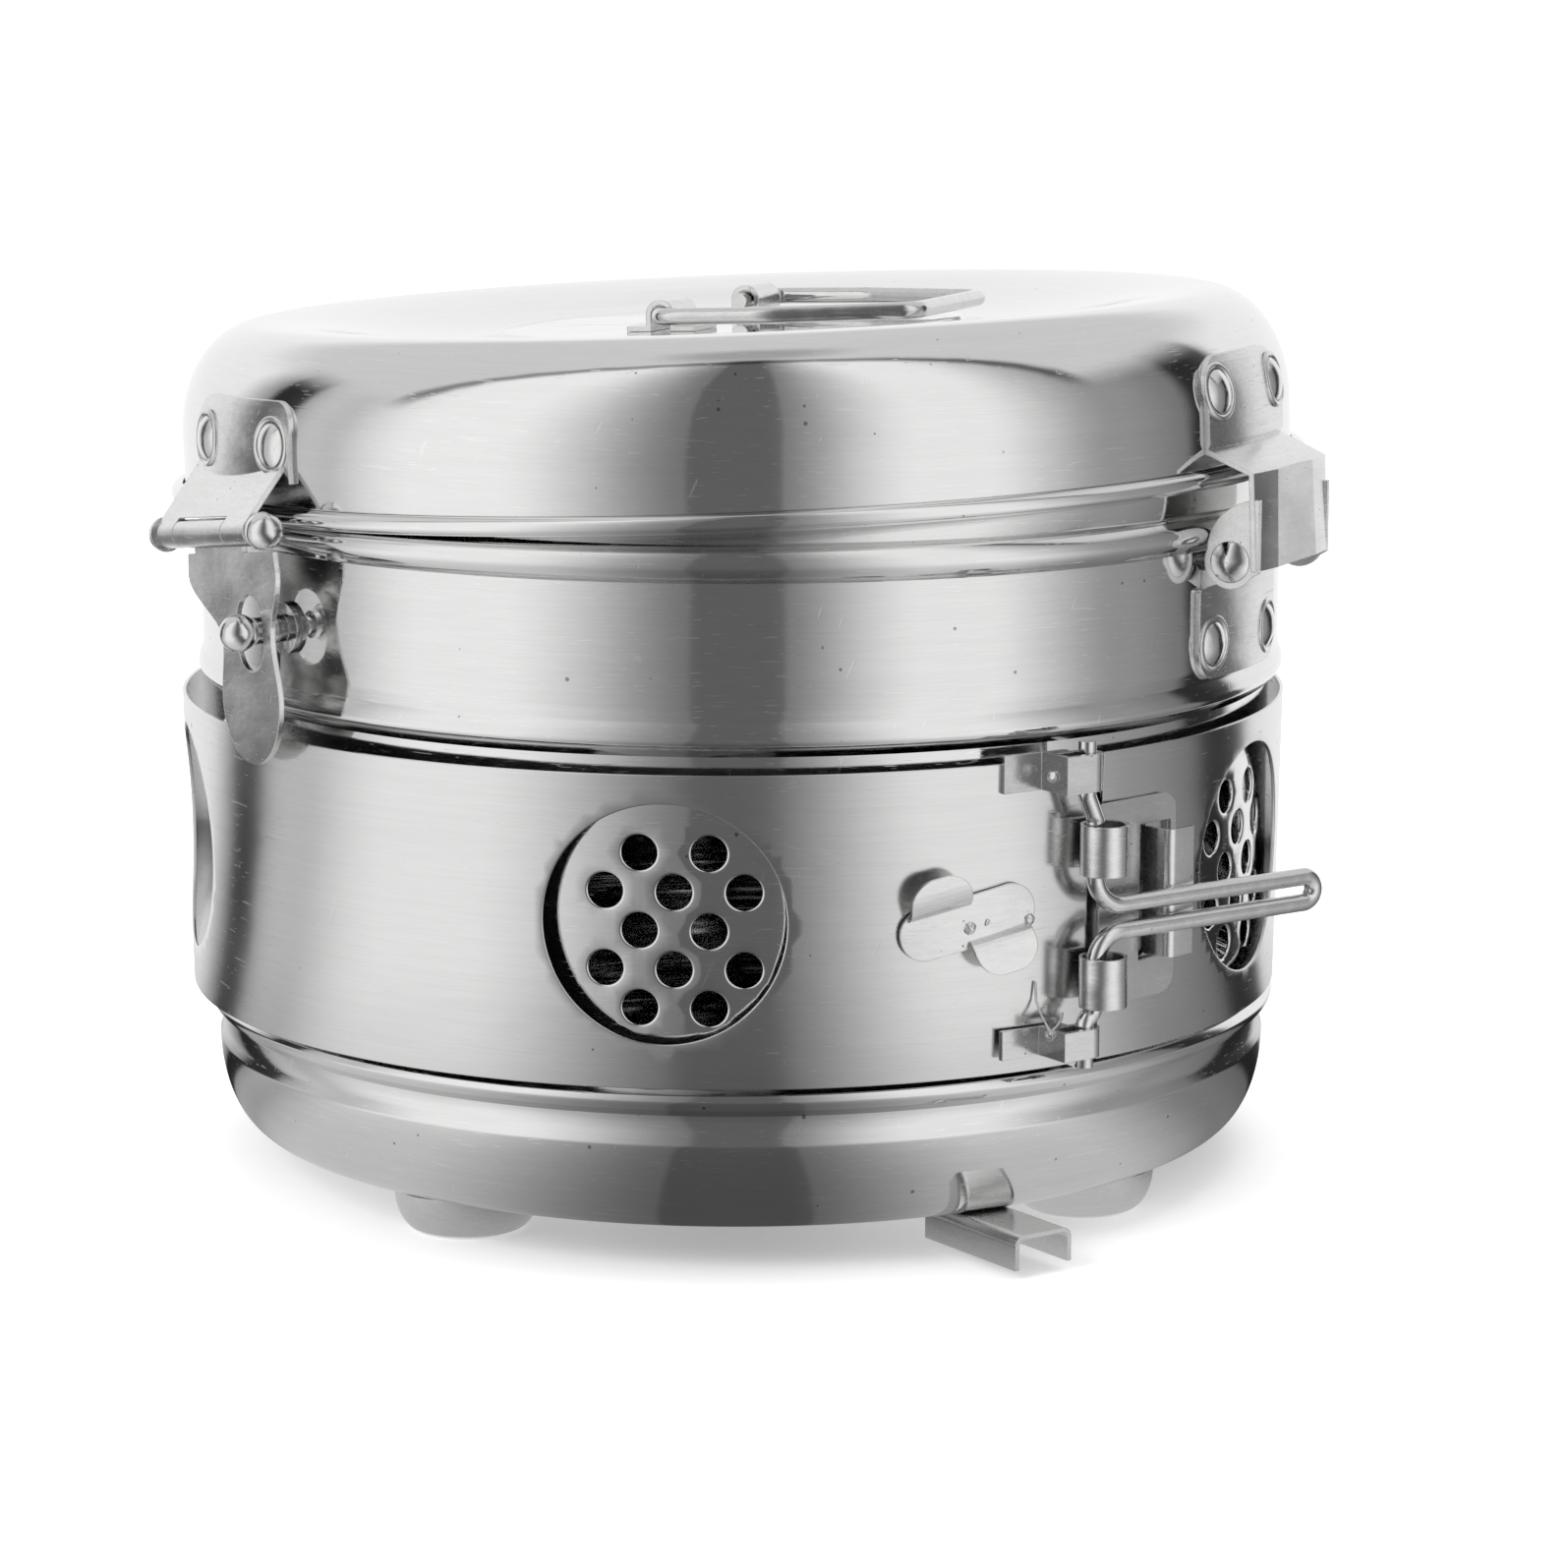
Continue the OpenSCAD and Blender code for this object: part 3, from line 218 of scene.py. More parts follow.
def makeNickGroup():
    # Small nicks and specks
    group, source, target = newGroup(
        "smallNicks",
        [("Point", "NodeSocketVector", None), ("Scale", "NodeSocketFloat", 420.0),
         ("Share", "NodeSocketFloat", 0.1)],
        [("Mask", "NodeSocketFloat"), ("Height", "NodeSocketFloat")])
    cells = group.nodes.new("ShaderNodeTexVoronoi")
    cells.feature = "F1"
    group.links.new(source.outputs["Point"], cells.inputs["Vector"])
    group.links.new(source.outputs["Scale"], cells.inputs["Scale"])
    cells.inputs["Randomness"].default_value = 1.0
    spread = group.nodes.new("ShaderNodeSeparateColor")
    group.links.new(cells.outputs["Color"], spread.inputs[0])
    chosen = addMath(group, "LESS_THAN", spread.outputs[0], source.outputs["Share"])
    size = addMath(group, "ADD", addMath(group, "MULTIPLY", spread.outputs[1], 0.12), 0.05)
    dot = addRange(group, cells.outputs["Distance"], addMath(group, "MULTIPLY", size, 0.5), size, 1, 0)
    mask = addMath(group, "MULTIPLY", chosen, dot, True)
    group.links.new(mask, target.inputs["Mask"])
    group.links.new(addMath(group, "MULTIPLY", mask, -1), target.inputs["Height"])
    return group


def makeEdgeGroup():
    # Worn bright edges, and a rounded normal for the edges of a pressed plate
    group, source, target = newGroup(
        "wornEdges",
        [("Point", "NodeSocketVector", None), ("Breakup", "NodeSocketFloat", 900.0)],
        [("Mask", "NodeSocketFloat"), ("Normal", "NodeSocketVector")])
    bevel = group.nodes.new("ShaderNodeBevel")
    bevel.samples = 4
    bevel.inputs["Radius"].default_value = 0.00022
    shape = group.nodes.new("ShaderNodeNewGeometry")
    dot = group.nodes.new("ShaderNodeVectorMath")
    dot.operation = "DOT_PRODUCT"
    group.links.new(bevel.outputs[0], dot.inputs[0])
    group.links.new(shape.outputs["Normal"], dot.inputs[1])
    edge = addRange(group, dot.outputs["Value"], 0.8, 0.97, 1, 0)
    broken = addRange(group, addNoise(group, source.outputs["Point"], source.outputs["Breakup"], 3.0, 0.6),
                      0.35, 0.6, 0.35, 1)
    group.links.new(addMath(group, "MULTIPLY", edge, broken, True), target.inputs["Mask"])
    group.links.new(bevel.outputs[0], target.inputs["Normal"])
    return group


def makeDentGroup():
    # Low waves of pressed sheet, which bend what it reflects
    group, source, target = newGroup(
        "sheetWaves",
        [("Point", "NodeSocketVector", None), ("Scale", "NodeSocketFloat", 28.0)],
        [("Height", "NodeSocketFloat")])
    split = group.nodes.new("ShaderNodeSeparateXYZ")
    group.links.new(source.outputs["Point"], split.inputs[0])
    flat = addCombine(group, split.outputs[0], addMath(group, "MULTIPLY", split.outputs[1], 2.2), split.outputs[2])
    wave = addNoise(group, flat, source.outputs["Scale"], 1.0, 0.45)
    ripple = addNoise(group, flat, addMath(group, "MULTIPLY", source.outputs["Scale"], 7), 1.0, 0.5)
    both = addMath(group, "ADD", wave, addMath(group, "MULTIPLY", ripple, 0.06))
    group.links.new(both, target.inputs["Height"])
    return group


groups = {
    "unroll": makeUnrollGroup(), "grain": makeGrainGroup(), "scratches": makeScratchGroup(),
    "nicks": makeNickGroup(), "edges": makeEdgeGroup(), "waves": makeDentGroup(),
}
print("node groups made")


# Finishes ------------------------------------------------------------------

def placeGroup(tree, name, point, **values):
    node = tree.nodes.new("ShaderNodeGroup")
    node.node_tree = groups[name]
    tree.links.new(point, node.inputs["Point"])
    for label, value in values.items():
        node.inputs[label].default_value = value
    return node


def mixColour(tree, mask, first, second):
    node = tree.nodes.new("ShaderNodeMix")
    node.data_type = "RGBA"
    tree.links.new(mask, node.inputs["Factor"])
    for index, value in ((6, first), (7, second)):
        if isinstance(value, tuple):
            node.inputs[index].default_value = (*value, 1)
        else:
            tree.links.new(value, node.inputs[index])
    return node.outputs[2]


finishes = {
    "polishedLid": {
        "tone": 0.80, "dark": 0.55, "rough": 0.045, "roughSpread": 0.07, "grain": 0.3, "grainLength": 30,
        "grainBump": 0.010, "scratchTone": 0.30, "scratchDensity": 0.55, "nicks": 0.10, "nickScale": 420,
        "wave": 0.00035, "waveScale": 22, "round": True, "edges": False},
    "polishedDrum": {
        "tone": 0.78, "dark": 0.50, "rough": 0.055, "roughSpread": 0.08, "grain": 0.35, "grainLength": 30,
        "grainBump": 0.012, "scratchTone": 0.35, "scratchDensity": 0.6, "nicks": 0.12, "nickScale": 420,
        "wave": 0.00028, "waveScale": 20, "round": True, "edges": False},
    "satinBand": {
        "tone": 0.74, "dark": 0.46, "rough": 0.16, "roughSpread": 0.06, "grain": 0.3, "grainLength": 60,
        "grainBump": 0.012, "scratchTone": 0.10, "scratchDensity": 0.45, "nicks": 0.06, "nickScale": 300,
        "wave": 0.0004, "waveScale": 16, "round": True, "edges": True},
    "pressedPlate": {
        "tone": 0.80, "dark": 0.45, "rough": 0.24, "roughSpread": 0.10, "grain": 0.5, "grainLength": 12,
        "grainBump": 0.02, "scratchTone": 0.14, "scratchDensity": 0.5, "nicks": 0.14, "nickScale": 500,
        "wave": 0.0003, "waveScale": 60, "round": True, "edges": True},
    "cutPlate": {
        "tone": 0.79, "dark": 0.40, "rough": 0.20, "roughSpread": 0.12, "grain": 0.45, "grainLength": 8,
        "grainBump": 0.02, "scratchTone": 0.14, "scratchDensity": 0.5, "nicks": 0.2, "nickScale": 600,
        "wave": 0.00035, "waveScale": 70, "round": True, "edges": True},
    "domedRivet": {
        "tone": 0.78, "dark": 0.42, "rough": 0.10, "roughSpread": 0.12, "grain": 0.4, "grainLength": 4,
        "grainBump": 0.015, "scratchTone": 0.15, "scratchDensity": 0.5, "nicks": 0.14, "nickScale": 900,
        "wave": 0.0001, "waveScale": 300, "round": False, "edges": True},
    "bentWire": {
        "tone": 0.76, "dark": 0.42, "rough": 0.11, "roughSpread": 0.14, "grain": 0.6, "grainLength": 10,
        "grainBump": 0.012, "scratchTone": 0.12, "scratchDensity": 0.4, "nicks": 0.12, "nickScale": 700,
        "wave": 0.00008, "waveScale": 220, "round": False, "edges": False},
    "pressedFoot": {
        "tone": 0.76, "dark": 0.50, "rough": 0.16, "roughSpread": 0.12, "grain": 0.5, "grainLength": 6,
        "grainBump": 0.015, "scratchTone": 0.12, "scratchDensity": 0.4, "nicks": 0.1, "nickScale": 600,
        "wave": 0.0002, "waveScale": 90, "round": False, "edges": True},
    "weldMetal": {
        "tone": 0.80, "dark": 0.40, "rough": 0.28, "roughSpread": 0.20, "grain": 0.3, "grainLength": 1,
        "grainBump": 0.10, "scratchTone": 0.3, "scratchDensity": 0.3, "nicks": 0.3, "nickScale": 1500,
        "wave": 0.0001, "waveScale": 500, "round": False, "edges": False},
}


def makeSteel(name):
    look = finishes[name]
    material = bpy.data.materials.new(name)
    material.use_nodes = True
    tree = material.node_tree
    shader = tree.nodes["Principled BSDF"]
    shader.inputs["Metallic"].default_value = 1.0
    place = tree.nodes.new("ShaderNodeTexCoord").outputs["Object"]
    point = place
    if look["round"]:
        point = placeGroup(tree, "unroll", place).outputs["Flat"]
    grain = placeGroup(tree, "grain", point, Fineness=1.0, Length=float(look["grainLength"]))
    scratches = placeGroup(tree, "scratches", point, Density=look["scratchDensity"])
    nicks = placeGroup(tree, "nicks", point, Scale=float(look["nickScale"]), Share=look["nicks"])
    waves = placeGroup(tree, "waves", point, Scale=float(look["waveScale"]))
    cloud = addNoise(tree, point, 45, 3.0, 0.6)

    tone = look["tone"]
    clean = (tone, tone, tone * 0.995)
    worn = (tone * 0.86, tone * 0.86, tone * 0.855)
    shade = addMath(tree, "MULTIPLY", grain.outputs["Tone"], look["grain"])
    colour = mixColour(tree, shade, clean, worn)
    light = addMath(tree, "MULTIPLY", scratches.outputs["Mask"], look["scratchTone"])
    bright = tuple(min(1.0, tone * 1.2) for _ in range(3))
    colour = mixColour(tree, light, colour, bright)
    colour = mixColour(tree, addMath(tree, "MULTIPLY", nicks.outputs["Mask"], 0.8), colour,
                       (look["dark"] * 0.4,) * 3)

    rough = addMath(tree, "ADD", look["rough"], addMath(
        tree, "MULTIPLY", addRange(tree, cloud, 0.35, 0.7, 0, 1), look["roughSpread"] * 0.5))
    rough = addMath(tree, "ADD", rough, addMath(tree, "MULTIPLY", shade, look["roughSpread"] * 0.35))
    rough = addMath(tree, "ADD", rough, addMath(tree, "MULTIPLY", scratches.outputs["Mask"], 0.10), True)

    wave = tree.nodes.new("ShaderNodeBump")
    wave.inputs["Strength"].default_value = 1.0
    wave.inputs["Distance"].default_value = look["wave"]
    tree.links.new(waves.outputs["Height"], wave.inputs["Height"])
    lines = tree.nodes.new("ShaderNodeBump")
    lines.inputs["Strength"].default_value = look["grainBump"]
    lines.inputs["Distance"].default_value = 0.00008
    tree.links.new(grain.outputs["Height"], lines.inputs["Height"])
    tree.links.new(wave.outputs["Normal"], lines.inputs["Normal"])
    marks = tree.nodes.new("ShaderNodeBump")
    marks.inputs["Strength"].default_value = 0.15
    marks.inputs["Distance"].default_value = 0.00003
    tree.links.new(addMath(tree, "ADD", scratches.outputs["Height"], nicks.outputs["Height"]),
                   marks.inputs["Height"])
    tree.links.new(lines.outputs["Normal"], marks.inputs["Normal"])
    if look["edges"]:
        edges = placeGroup(tree, "edges", place)
        tree.links.new(edges.outputs["Normal"], wave.inputs["Normal"])
        colour = mixColour(tree, addMath(tree, "MULTIPLY", edges.outputs["Mask"], 0.7), colour,
                           (0.93, 0.93, 0.93))
    tree.links.new(colour, shader.inputs["Base Color"])
    tree.links.new(rough, shader.inputs["Roughness"])
    tree.links.new(marks.outputs["Normal"], shader.inputs["Normal"])
    return material


materials = {name: makeSteel(name) for name in finishes}
print("finishes made:", len(materials))


def dress(thing, finish):
    thing.data.materials.clear()
    thing.data.materials.append(materials[finish])


nodeFinishes = {
    "drum_body": "polishedDrum", "lid_shell": "polishedLid", "shutter_band": "satinBand",
    "foot_front_left": "pressedFoot", "foot_front_right": "pressedFoot",
    "foot_rear_right": "pressedFoot", "foot_rear_left": "pressedFoot",
    "base_channel": "pressedPlate", "body_hinge_plate": "pressedPlate",
    "lid_hinge_plate": "pressedPlate", "clasp_plate": "cutPlate", "hasp": "cutPlate",
    "latch_bracket_upper": "cutPlate", "latch_bracket_lower": "cutPlate", "keeper_clip": "cutPlate",
    "link_plate": "cutPlate", "handle_lug_near": "cutPlate", "handle_lug_far": "cutPlate",
    "body_hinge_rivets": "domedRivet", "lid_hinge_rivets": "domedRivet", "clasp_rivets": "domedRivet",
    "hinge_pin": "domedRivet", "clasp_pin": "domedRivet", "stud_base": "domedRivet",
    "clasp_stud": "domedRivet", "bail_handle": "bentWire", "latch_wire": "bentWire",
}
for nodeName, node in nodes.items():
    dress(node, nodeFinishes[nodeName])
    node.data.shade_smooth()
    node.data.set_sharp_from_angle(angle=math.radians(32))


# Mesh helpers --------------------------------------------------------------

def finishMesh(name, shape, finish, sharp=35):
    mesh = bpy.data.meshes.new(name)
    bmesh.ops.recalc_face_normals(shape, faces=shape.faces)
    shape.to_mesh(mesh)
    shape.free()
    thing = bpy.data.objects.new(name, mesh)
    bpy.context.scene.collection.objects.link(thing)
    mesh.shade_smooth()
    mesh.set_sharp_from_angle(angle=math.radians(sharp))
    dress(thing, finish)
    return thing


def offsetPath(path, distance):
    # The path's second skin, on its left for a positive distance
    result = []
    for index, point in enumerate(path):
        before = path[max(index - 1, 0)]
        after = path[min(index + 1, len(path) - 1)]
        run = Vector((after[0] - before[0], after[1] - before[1])).normalized()
        result.append((point[0] - distance * run[1], point[1] + distance * run[0]))
    return result


def revolve(shape, loop, segments, place, closed=True):
    # Turns a loop of (radius, height) in mm round the Z axis
    rings = []
    for radius, height in loop:
        if radius < 1e-6:
            rings.append([shape.verts.new(place @ Vector((0, 0, height * mm)))])
            continue
        ring = []
        for step in range(segments):
            angle = 2 * math.pi * step / segments
            spot = Vector((radius * math.sin(angle), -radius * math.cos(angle), height)) * mm
            ring.append(shape.verts.new(place @ spot))
        rings.append(ring)
    count = len(rings)
    for index in range(count if closed else count - 1):
        low, high = rings[index], rings[(index + 1) % count]
        if len(low) == 1 and len(high) == 1:
            continue
        for step in range(segments):
            after = (step + 1) % segments
            if len(low) == 1:
                shape.faces.new((low[0], high[after], high[step]))
            elif len(high) == 1:
                shape.faces.new((low[step], low[after], high[0]))
            else:
                shape.faces.new((low[step], low[after], high[after], high[step]))
    return rings


def arc(centreX, centreY, radius, start, end, count):
    return [(centreX + radius * math.cos(math.radians(start + (end - start) * i / count)),
             centreY + radius * math.sin(math.radians(start + (end - start) * i / count)))
            for i in range(count + 1)]


def bead(before, after, top, height, rise, count=20):
    path = []
    for index in range(count + 1):
        angle = -90 + 180 * index / count
        base = before if angle < 0 else after
        path.append((base + (top - base) * math.cos(math.radians(angle)), height + rise * index / count))
    return path


def roundWall(shape, place, wall):
    # A round wall in two skins, with openings through it: turns in degrees, the rest in mm
    low, high = wall["span"]
    radius, levels, sides = wall["radius"], wall["levels"], wall["sides"]
    toArc = math.radians(1) * radius
    margin = wall["margin"]

    def inHole(u, z, spare):
        for turn, height, reach in wall["holes"]:
            across = u / radius - math.radians(turn)
            if abs(across) < 1 and math.hypot(radius * math.sin(across), z - height) < reach + spare:
                return True
        for u0, u1, z0, z1 in wall["cuts"]:
            if u0 * toArc - spare < u < u1 * toArc + spare and z0 - spare < z < z1 + spare:
                return True
        return False

    points, edges, rims = [], [], []
    for i in range(wall["steps"] + 1):
        u = (low + (high - low) * i / wall["steps"]) * toArc
        for j, z in enumerate(levels):
            border = j in (0, len(levels) - 1) or i in (0, wall["steps"])
            if border or not inHole(u, z, margin):
                points.append(Vector((u, z)))
    for turn, height, reach in wall["holes"]:
        first = len(points)
        for k in range(sides):
            angle = 2 * math.pi * k / sides
            points.append(Vector((turn * toArc + radius * math.asin(reach * math.cos(angle) / radius),
                                  height + reach * math.sin(angle))))
        rims.append(list(range(first, first + sides)))
    for u0, u1, z0, z1 in wall["cuts"]:
        corners = [(u0 * toArc, z0), (u1 * toArc, z0), (u1 * toArc, z1), (u0 * toArc, z1)]
        first = len(points)
        for k in range(4):
            start, end = Vector(corners[k]), Vector(corners[(k + 1) % 4])
            points += [start + (end - start) * part / 8 for part in range(8)]
        rims.append(list(range(first, len(points))))
    for ring in rims:
        edges += [(ring[k], ring[(k + 1) % len(ring)]) for k in range(len(ring))]
    found = geometry.delaunay_2d_cdt(points, edges, [], 0, 1e-6)
    flat, faces = found[0], found[2]

    def spot(u, z, depth):
        angle = u / radius
        reach = wall["radiusAt"](z) - depth
        return place @ (Vector((reach * math.sin(angle), -reach * math.cos(angle), z)) * mm)

    outer = [shape.verts.new(spot(p.x, p.y, 0)) for p in flat]
    inner = [shape.verts.new(spot(p.x, p.y, wall["sheet"])) for p in flat]
    number = {vert: index for index, vert in enumerate(outer)}
    made = []
    for face in faces:
        centre = sum((flat[i] for i in face), Vector((0, 0))) / len(face)
        if not inHole(centre.x, centre.y, -0.004):
            made.append(shape.faces.new([outer[i] for i in face]))
            shape.faces.new([inner[i] for i in reversed(face)])

    def atBorder(a, b):
        for index, limits in ((0, (low * toArc, high * toArc)), (1, (levels[0], levels[-1]))):
            for limit in limits:
                if abs(a[index] - limit) < 1e-5 and abs(b[index] - limit) < 1e-5:
                    return True
        return False

    def lipRing(index):
        # The rounded lip from the skin's edge into the opening
        point = flat[index]
        for turn, height, reach in wall["holes"]:
            away = Vector((point.x - turn * toArc, point.y - height))
            if abs(away.length - reach) < 0.4:
                return [shape.verts.new(spot(point.x - away.x / reach * wall["lip"] * inward,
                                             point.y - away.y / reach * wall["lip"] * inward,
                                             wall["sheet"] * depth))
                        for inward, depth in ((0.5, 0.06), (0.85, 0.22), (1.0, 0.5))]
        return []

    lips = {}
    rimEdges = sorted({tuple(sorted(number[vert] for vert in edge.verts))
                       for face in made for edge in face.edges if edge.is_boundary})
    for a, b in rimEdges:
        border = atBorder(flat[a], flat[b])
        if border and not wall["closed"]:
            continue
        for index in (a, b):
            if index not in lips:
                lips[index] = [] if border else lipRing(index)
        left = [outer[a]] + lips[a] + [inner[a]]
        right = [outer[b]] + lips[b] + [inner[b]]
        if len(left) != len(right):
            left, right = [outer[a], inner[a]], [outer[b], inner[b]]
        for k in range(len(left) - 1):
            shape.faces.new((left[k], right[k], right[k + 1], left[k + 1]))
    for vert in outer + inner:
        if not vert.link_faces:
            shape.verts.remove(vert)


def sweep(shape, points, radius, sides=28, rough=0.0):
    # A round wire along the points, with flat ends
    spots = [Vector(p) for p in points]
    count = len(spots)
    run = (spots[1] - spots[0]).normalized()
    side = run.orthogonal().normalized()
    rings = []
    for index in range(count):
        before = spots[max(index - 1, 0)]
        after = spots[min(index + 1, count - 1)]
        heading = (after - before).normalized()
        turn = run.rotation_difference(heading)
        side = (turn @ side).normalized()
        side = (side - heading * side.dot(heading)).normalized()
        run = heading
        other = heading.cross(side)
        ring = []
        for k in range(sides):
            angle = 2 * math.pi * k / sides
            swell = 1 + rough * noise.noise(Vector((k * 0.7, index * 0.35, radius * 900)))
            reach = radius * swell
            ring.append(shape.verts.new(spots[index] + side * (reach * math.cos(angle))
                                        + other * (reach * math.sin(angle))))
        rings.append(ring)
    for low, high in zip(rings, rings[1:]):
        for k in range(sides):
            after = (k + 1) % sides
            shape.faces.new((low[k], low[after], high[after], high[k]))
    shape.faces.new(list(reversed(rings[0])))
    shape.faces.new(rings[-1])


def bentPath(corners, count=14, stretch=1.2):
    # Corners are (x, y, bend radius) in mm; returns close points of the rounded path
    path = []
    for index, (x, y, bend) in enumerate(corners):
        here = Vector((x, y))
        if index in (0, len(corners) - 1):
            path.append(here)
            continue
        before = Vector(corners[index - 1][:2])
        after = Vector(corners[index + 1][:2])
        back = (before - here).normalized()
        ahead = (after - here).normalized()
        half = math.acos(max(-1, min(1, back.dot(ahead)))) / 2
        cut = bend / math.tan(half)
        start, end = here + back * cut, here + ahead * cut
        centre = here + (back + ahead).normalized() * (bend / math.sin(half))
        first, last = start - centre, end - centre
        swing = first.angle_signed(last)
        for part in range(count + 1):
            share = part / count
            angle = -swing * share
            path.append(centre + Vector((first.x * math.cos(angle) - first.y * math.sin(angle),
                                         first.x * math.sin(angle) + first.y * math.cos(angle))))
    dense = [path[0]]
    for point in path[1:]:
        gap = (point - dense[-1]).length
        if gap < 1e-4:
            continue
        pieces = max(1, int(gap / stretch))
        start = dense[-1]
        dense += [start + (point - start) * (k + 1) / pieces for k in range(pieces)]
    return dense


# Lid -----------------------------------------------------------------------

def buildLid():
    s = lidSettings
    crown = s["radius"] - s["shoulderWidth"]
    path = [(0, s["discHeight"])]
    edge = 2.2
    path += [(s["discRadius"] - edge - 8 + 2 * i, s["discHeight"]) for i in range(4)]
    for index in range(9):
        share = index / 8
        path.append((s["discRadius"] - edge + edge * share,
                     s["discHeight"] - (s["discHeight"] - s["dishFloor"]) * (1 - math.cos(math.pi * share)) / 2))
    for index in range(1, 41):
        share = index / 40
        path.append((s["discRadius"] + (crown - s["discRadius"]) * share,
                     s["dishFloor"] + s["dishDepth"] * (1 - math.cos(math.pi * share)) / 2))
    for index in range(1, 41):
        angle = math.radians(90 * index / 40)
        path.append((crown + s["shoulderWidth"] * math.sin(angle),
                     s["wall"] + s["shoulderHeight"] * math.cos(angle)))
    path += [(s["radius"], s["wall"] * (1 - i / 6) + 0.0) for i in range(1, 6)]
    path += arc(s["radius"] - s["sheet"] + s["hem"], 0, s["hem"] - s["sheet"], 180, 180 + 292, 28)
    skin = path[:]
    inner = offsetPath(path, -s["sheet"])
    inner[0] = (0, inner[0][1])
    shape = bmesh.new()
    revolve(shape, skin + inner[::-1], s["segments"], lidPlace)
    lid = finishMesh("lidSkin", shape, "polishedLid", 40)
    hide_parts("lid_shell")
    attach(lid, "lid")
    print("lid:", len(lid.data.polygons), "faces")


buildLid()


# Drum ----------------------------------------------------------------------

def ventHoles(radius):
    holes = []
    s = ventSettings
    middle = drumSettings["recess"] + 46.4 / 2 - s["row"] / 4
    for row, count in enumerate(s["rows"]):
        for index in range(count):
            step = (index - (count - 1) / 2) * s["pitch"]
            holes.append((math.degrees(step / radius), middle + (2 - row) * s["row"], s["diameter"] / 2 + 0.3))
    return holes


def buildDrum():
    s = drumSettings
    low = [(13.5 * i, s["under"]) for i in range(6)]
    flat = s["radius"] - s["cornerWidth"]
    for index in range(41):
        angle = math.radians(90 * index / 40)
        low.append((flat + s["cornerWidth"] * math.sin(angle),
                    s["under"] + s["cornerHeight"] * (1 - math.cos(angle))))
    low.append((s["radius"] - s["stripIn"], s["under"] + s["cornerHeight"] + 1.2))
    low += bead(s["radius"] - s["stripIn"], s["radius"], s["radius"] + s["beadOut"], s["strip"], s["beadHeight"])
    high = bead(s["radius"], s["upperRadius"], s["radius"] + s["ridgeOut"], s["ridge"], s["ridgeHeight"])
    high += [(s["upperRadius"], 82 + 3.0 * i) for i in range(6)]
    high += bead(s["upperRadius"], s["upperRadius"], s["upperRadius"] + s["bulgeOut"], s["bulge"],
                 s["bulgeHeight"])
    neck = s["upperRadius"] - s["neckTaper"]
    high += arc(neck - s["rimRadius"], s["rim"], s["rimRadius"], 0, s["rimTurn"], 24)
    innerLow, innerHigh = offsetPath(low, s["sheet"]), offsetPath(high, s["sheet"])
    innerLow[0] = (0, innerLow[0][1])
    innerLow[-1] = (s["radius"] - s["sheet"], low[-1][1])
    innerHigh[0] = (s["radius"] - s["sheet"], high[0][1])
    place = turned(ventSettings["turn"])
    shape = bmesh.new()
    revolve(shape, low, s["segments"], place, closed=False)
    revolve(shape, innerLow, s["segments"], place, closed=False)
    revolve(shape, high + innerHigh[::-1], s["segments"], place, closed=False)
    groupTurn = 360 / ventSettings["groups"]
    for index in range(ventSettings["groups"]):
        roundWall(shape, turned(ventSettings["turn"] + index * groupTurn), {
            "radius": s["radius"], "radiusAt": lambda z: s["radius"], "sheet": s["sheet"],
            "span": (-groupTurn / 2, groupTurn / 2), "steps": s["segments"] // ventSettings["groups"],
            "levels": [s["recess"] + 46.4 * i / 24 for i in range(25)],
            "holes": ventHoles(s["radius"]), "cuts": [], "sides": 40, "margin": 0.7, "closed": False, "lip": 0.4})
    bmesh.ops.remove_doubles(shape, verts=shape.verts, dist=3e-6)
    drum = finishMesh("drumSkin", shape, "polishedDrum", 40)
    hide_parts("drum_body")
    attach(drum, "drum")
    print("drum:", len(drum.data.polygons), "faces")


buildDrum()


# Band ----------------------------------------------------------------------

def buildBand():
    s = bandSettings
    half = math.degrees(s["split"] / 2 / s["radius"])
    holes = []
    for index in range(ventSettings["groups"]):
        turn = (ventSettings["turn"] + index * 72 - s["splitTurn"]) % 360
        holes.append((turn, s["windowHeight"], s["window"] / 2))
    toTurn = math.degrees(1 / s["radius"])
    start = s["tongueTurn"] - s["splitTurn"] + (s["tongueX"] - s["tongueCut"]) * toTurn
    end = s["tongueTurn"] - s["splitTurn"] + s["tongueX"] * toTurn
    shape = bmesh.new()
    roundWall(shape, bandPlace @ turned(s["splitTurn"]), {
        "radius": s["radius"],
        "radiusAt": lambda z: s["radius"] + s["flare"] * (z - s["bottom"]) / s["height"],
        "sheet": s["sheet"], "span": (half, 360 - half), "steps": s["segments"],
        "levels": [s["bottom"] + s["height"] * i / 24 for i in range(25)], "holes": holes,
        "cuts": [(start, end, s["tongueBottom"], s["tongueBottom"] + s["tongueHeight"])],
        "sides": 96, "margin": 0.7, "closed": True, "lip": 0.16})
    band = finishMesh("bandSkin", shape, "satinBand", 40)
    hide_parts("shutter_band")
    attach(band, "band")
    print("band:", len(band.data.polygons), "faces")


buildBand()


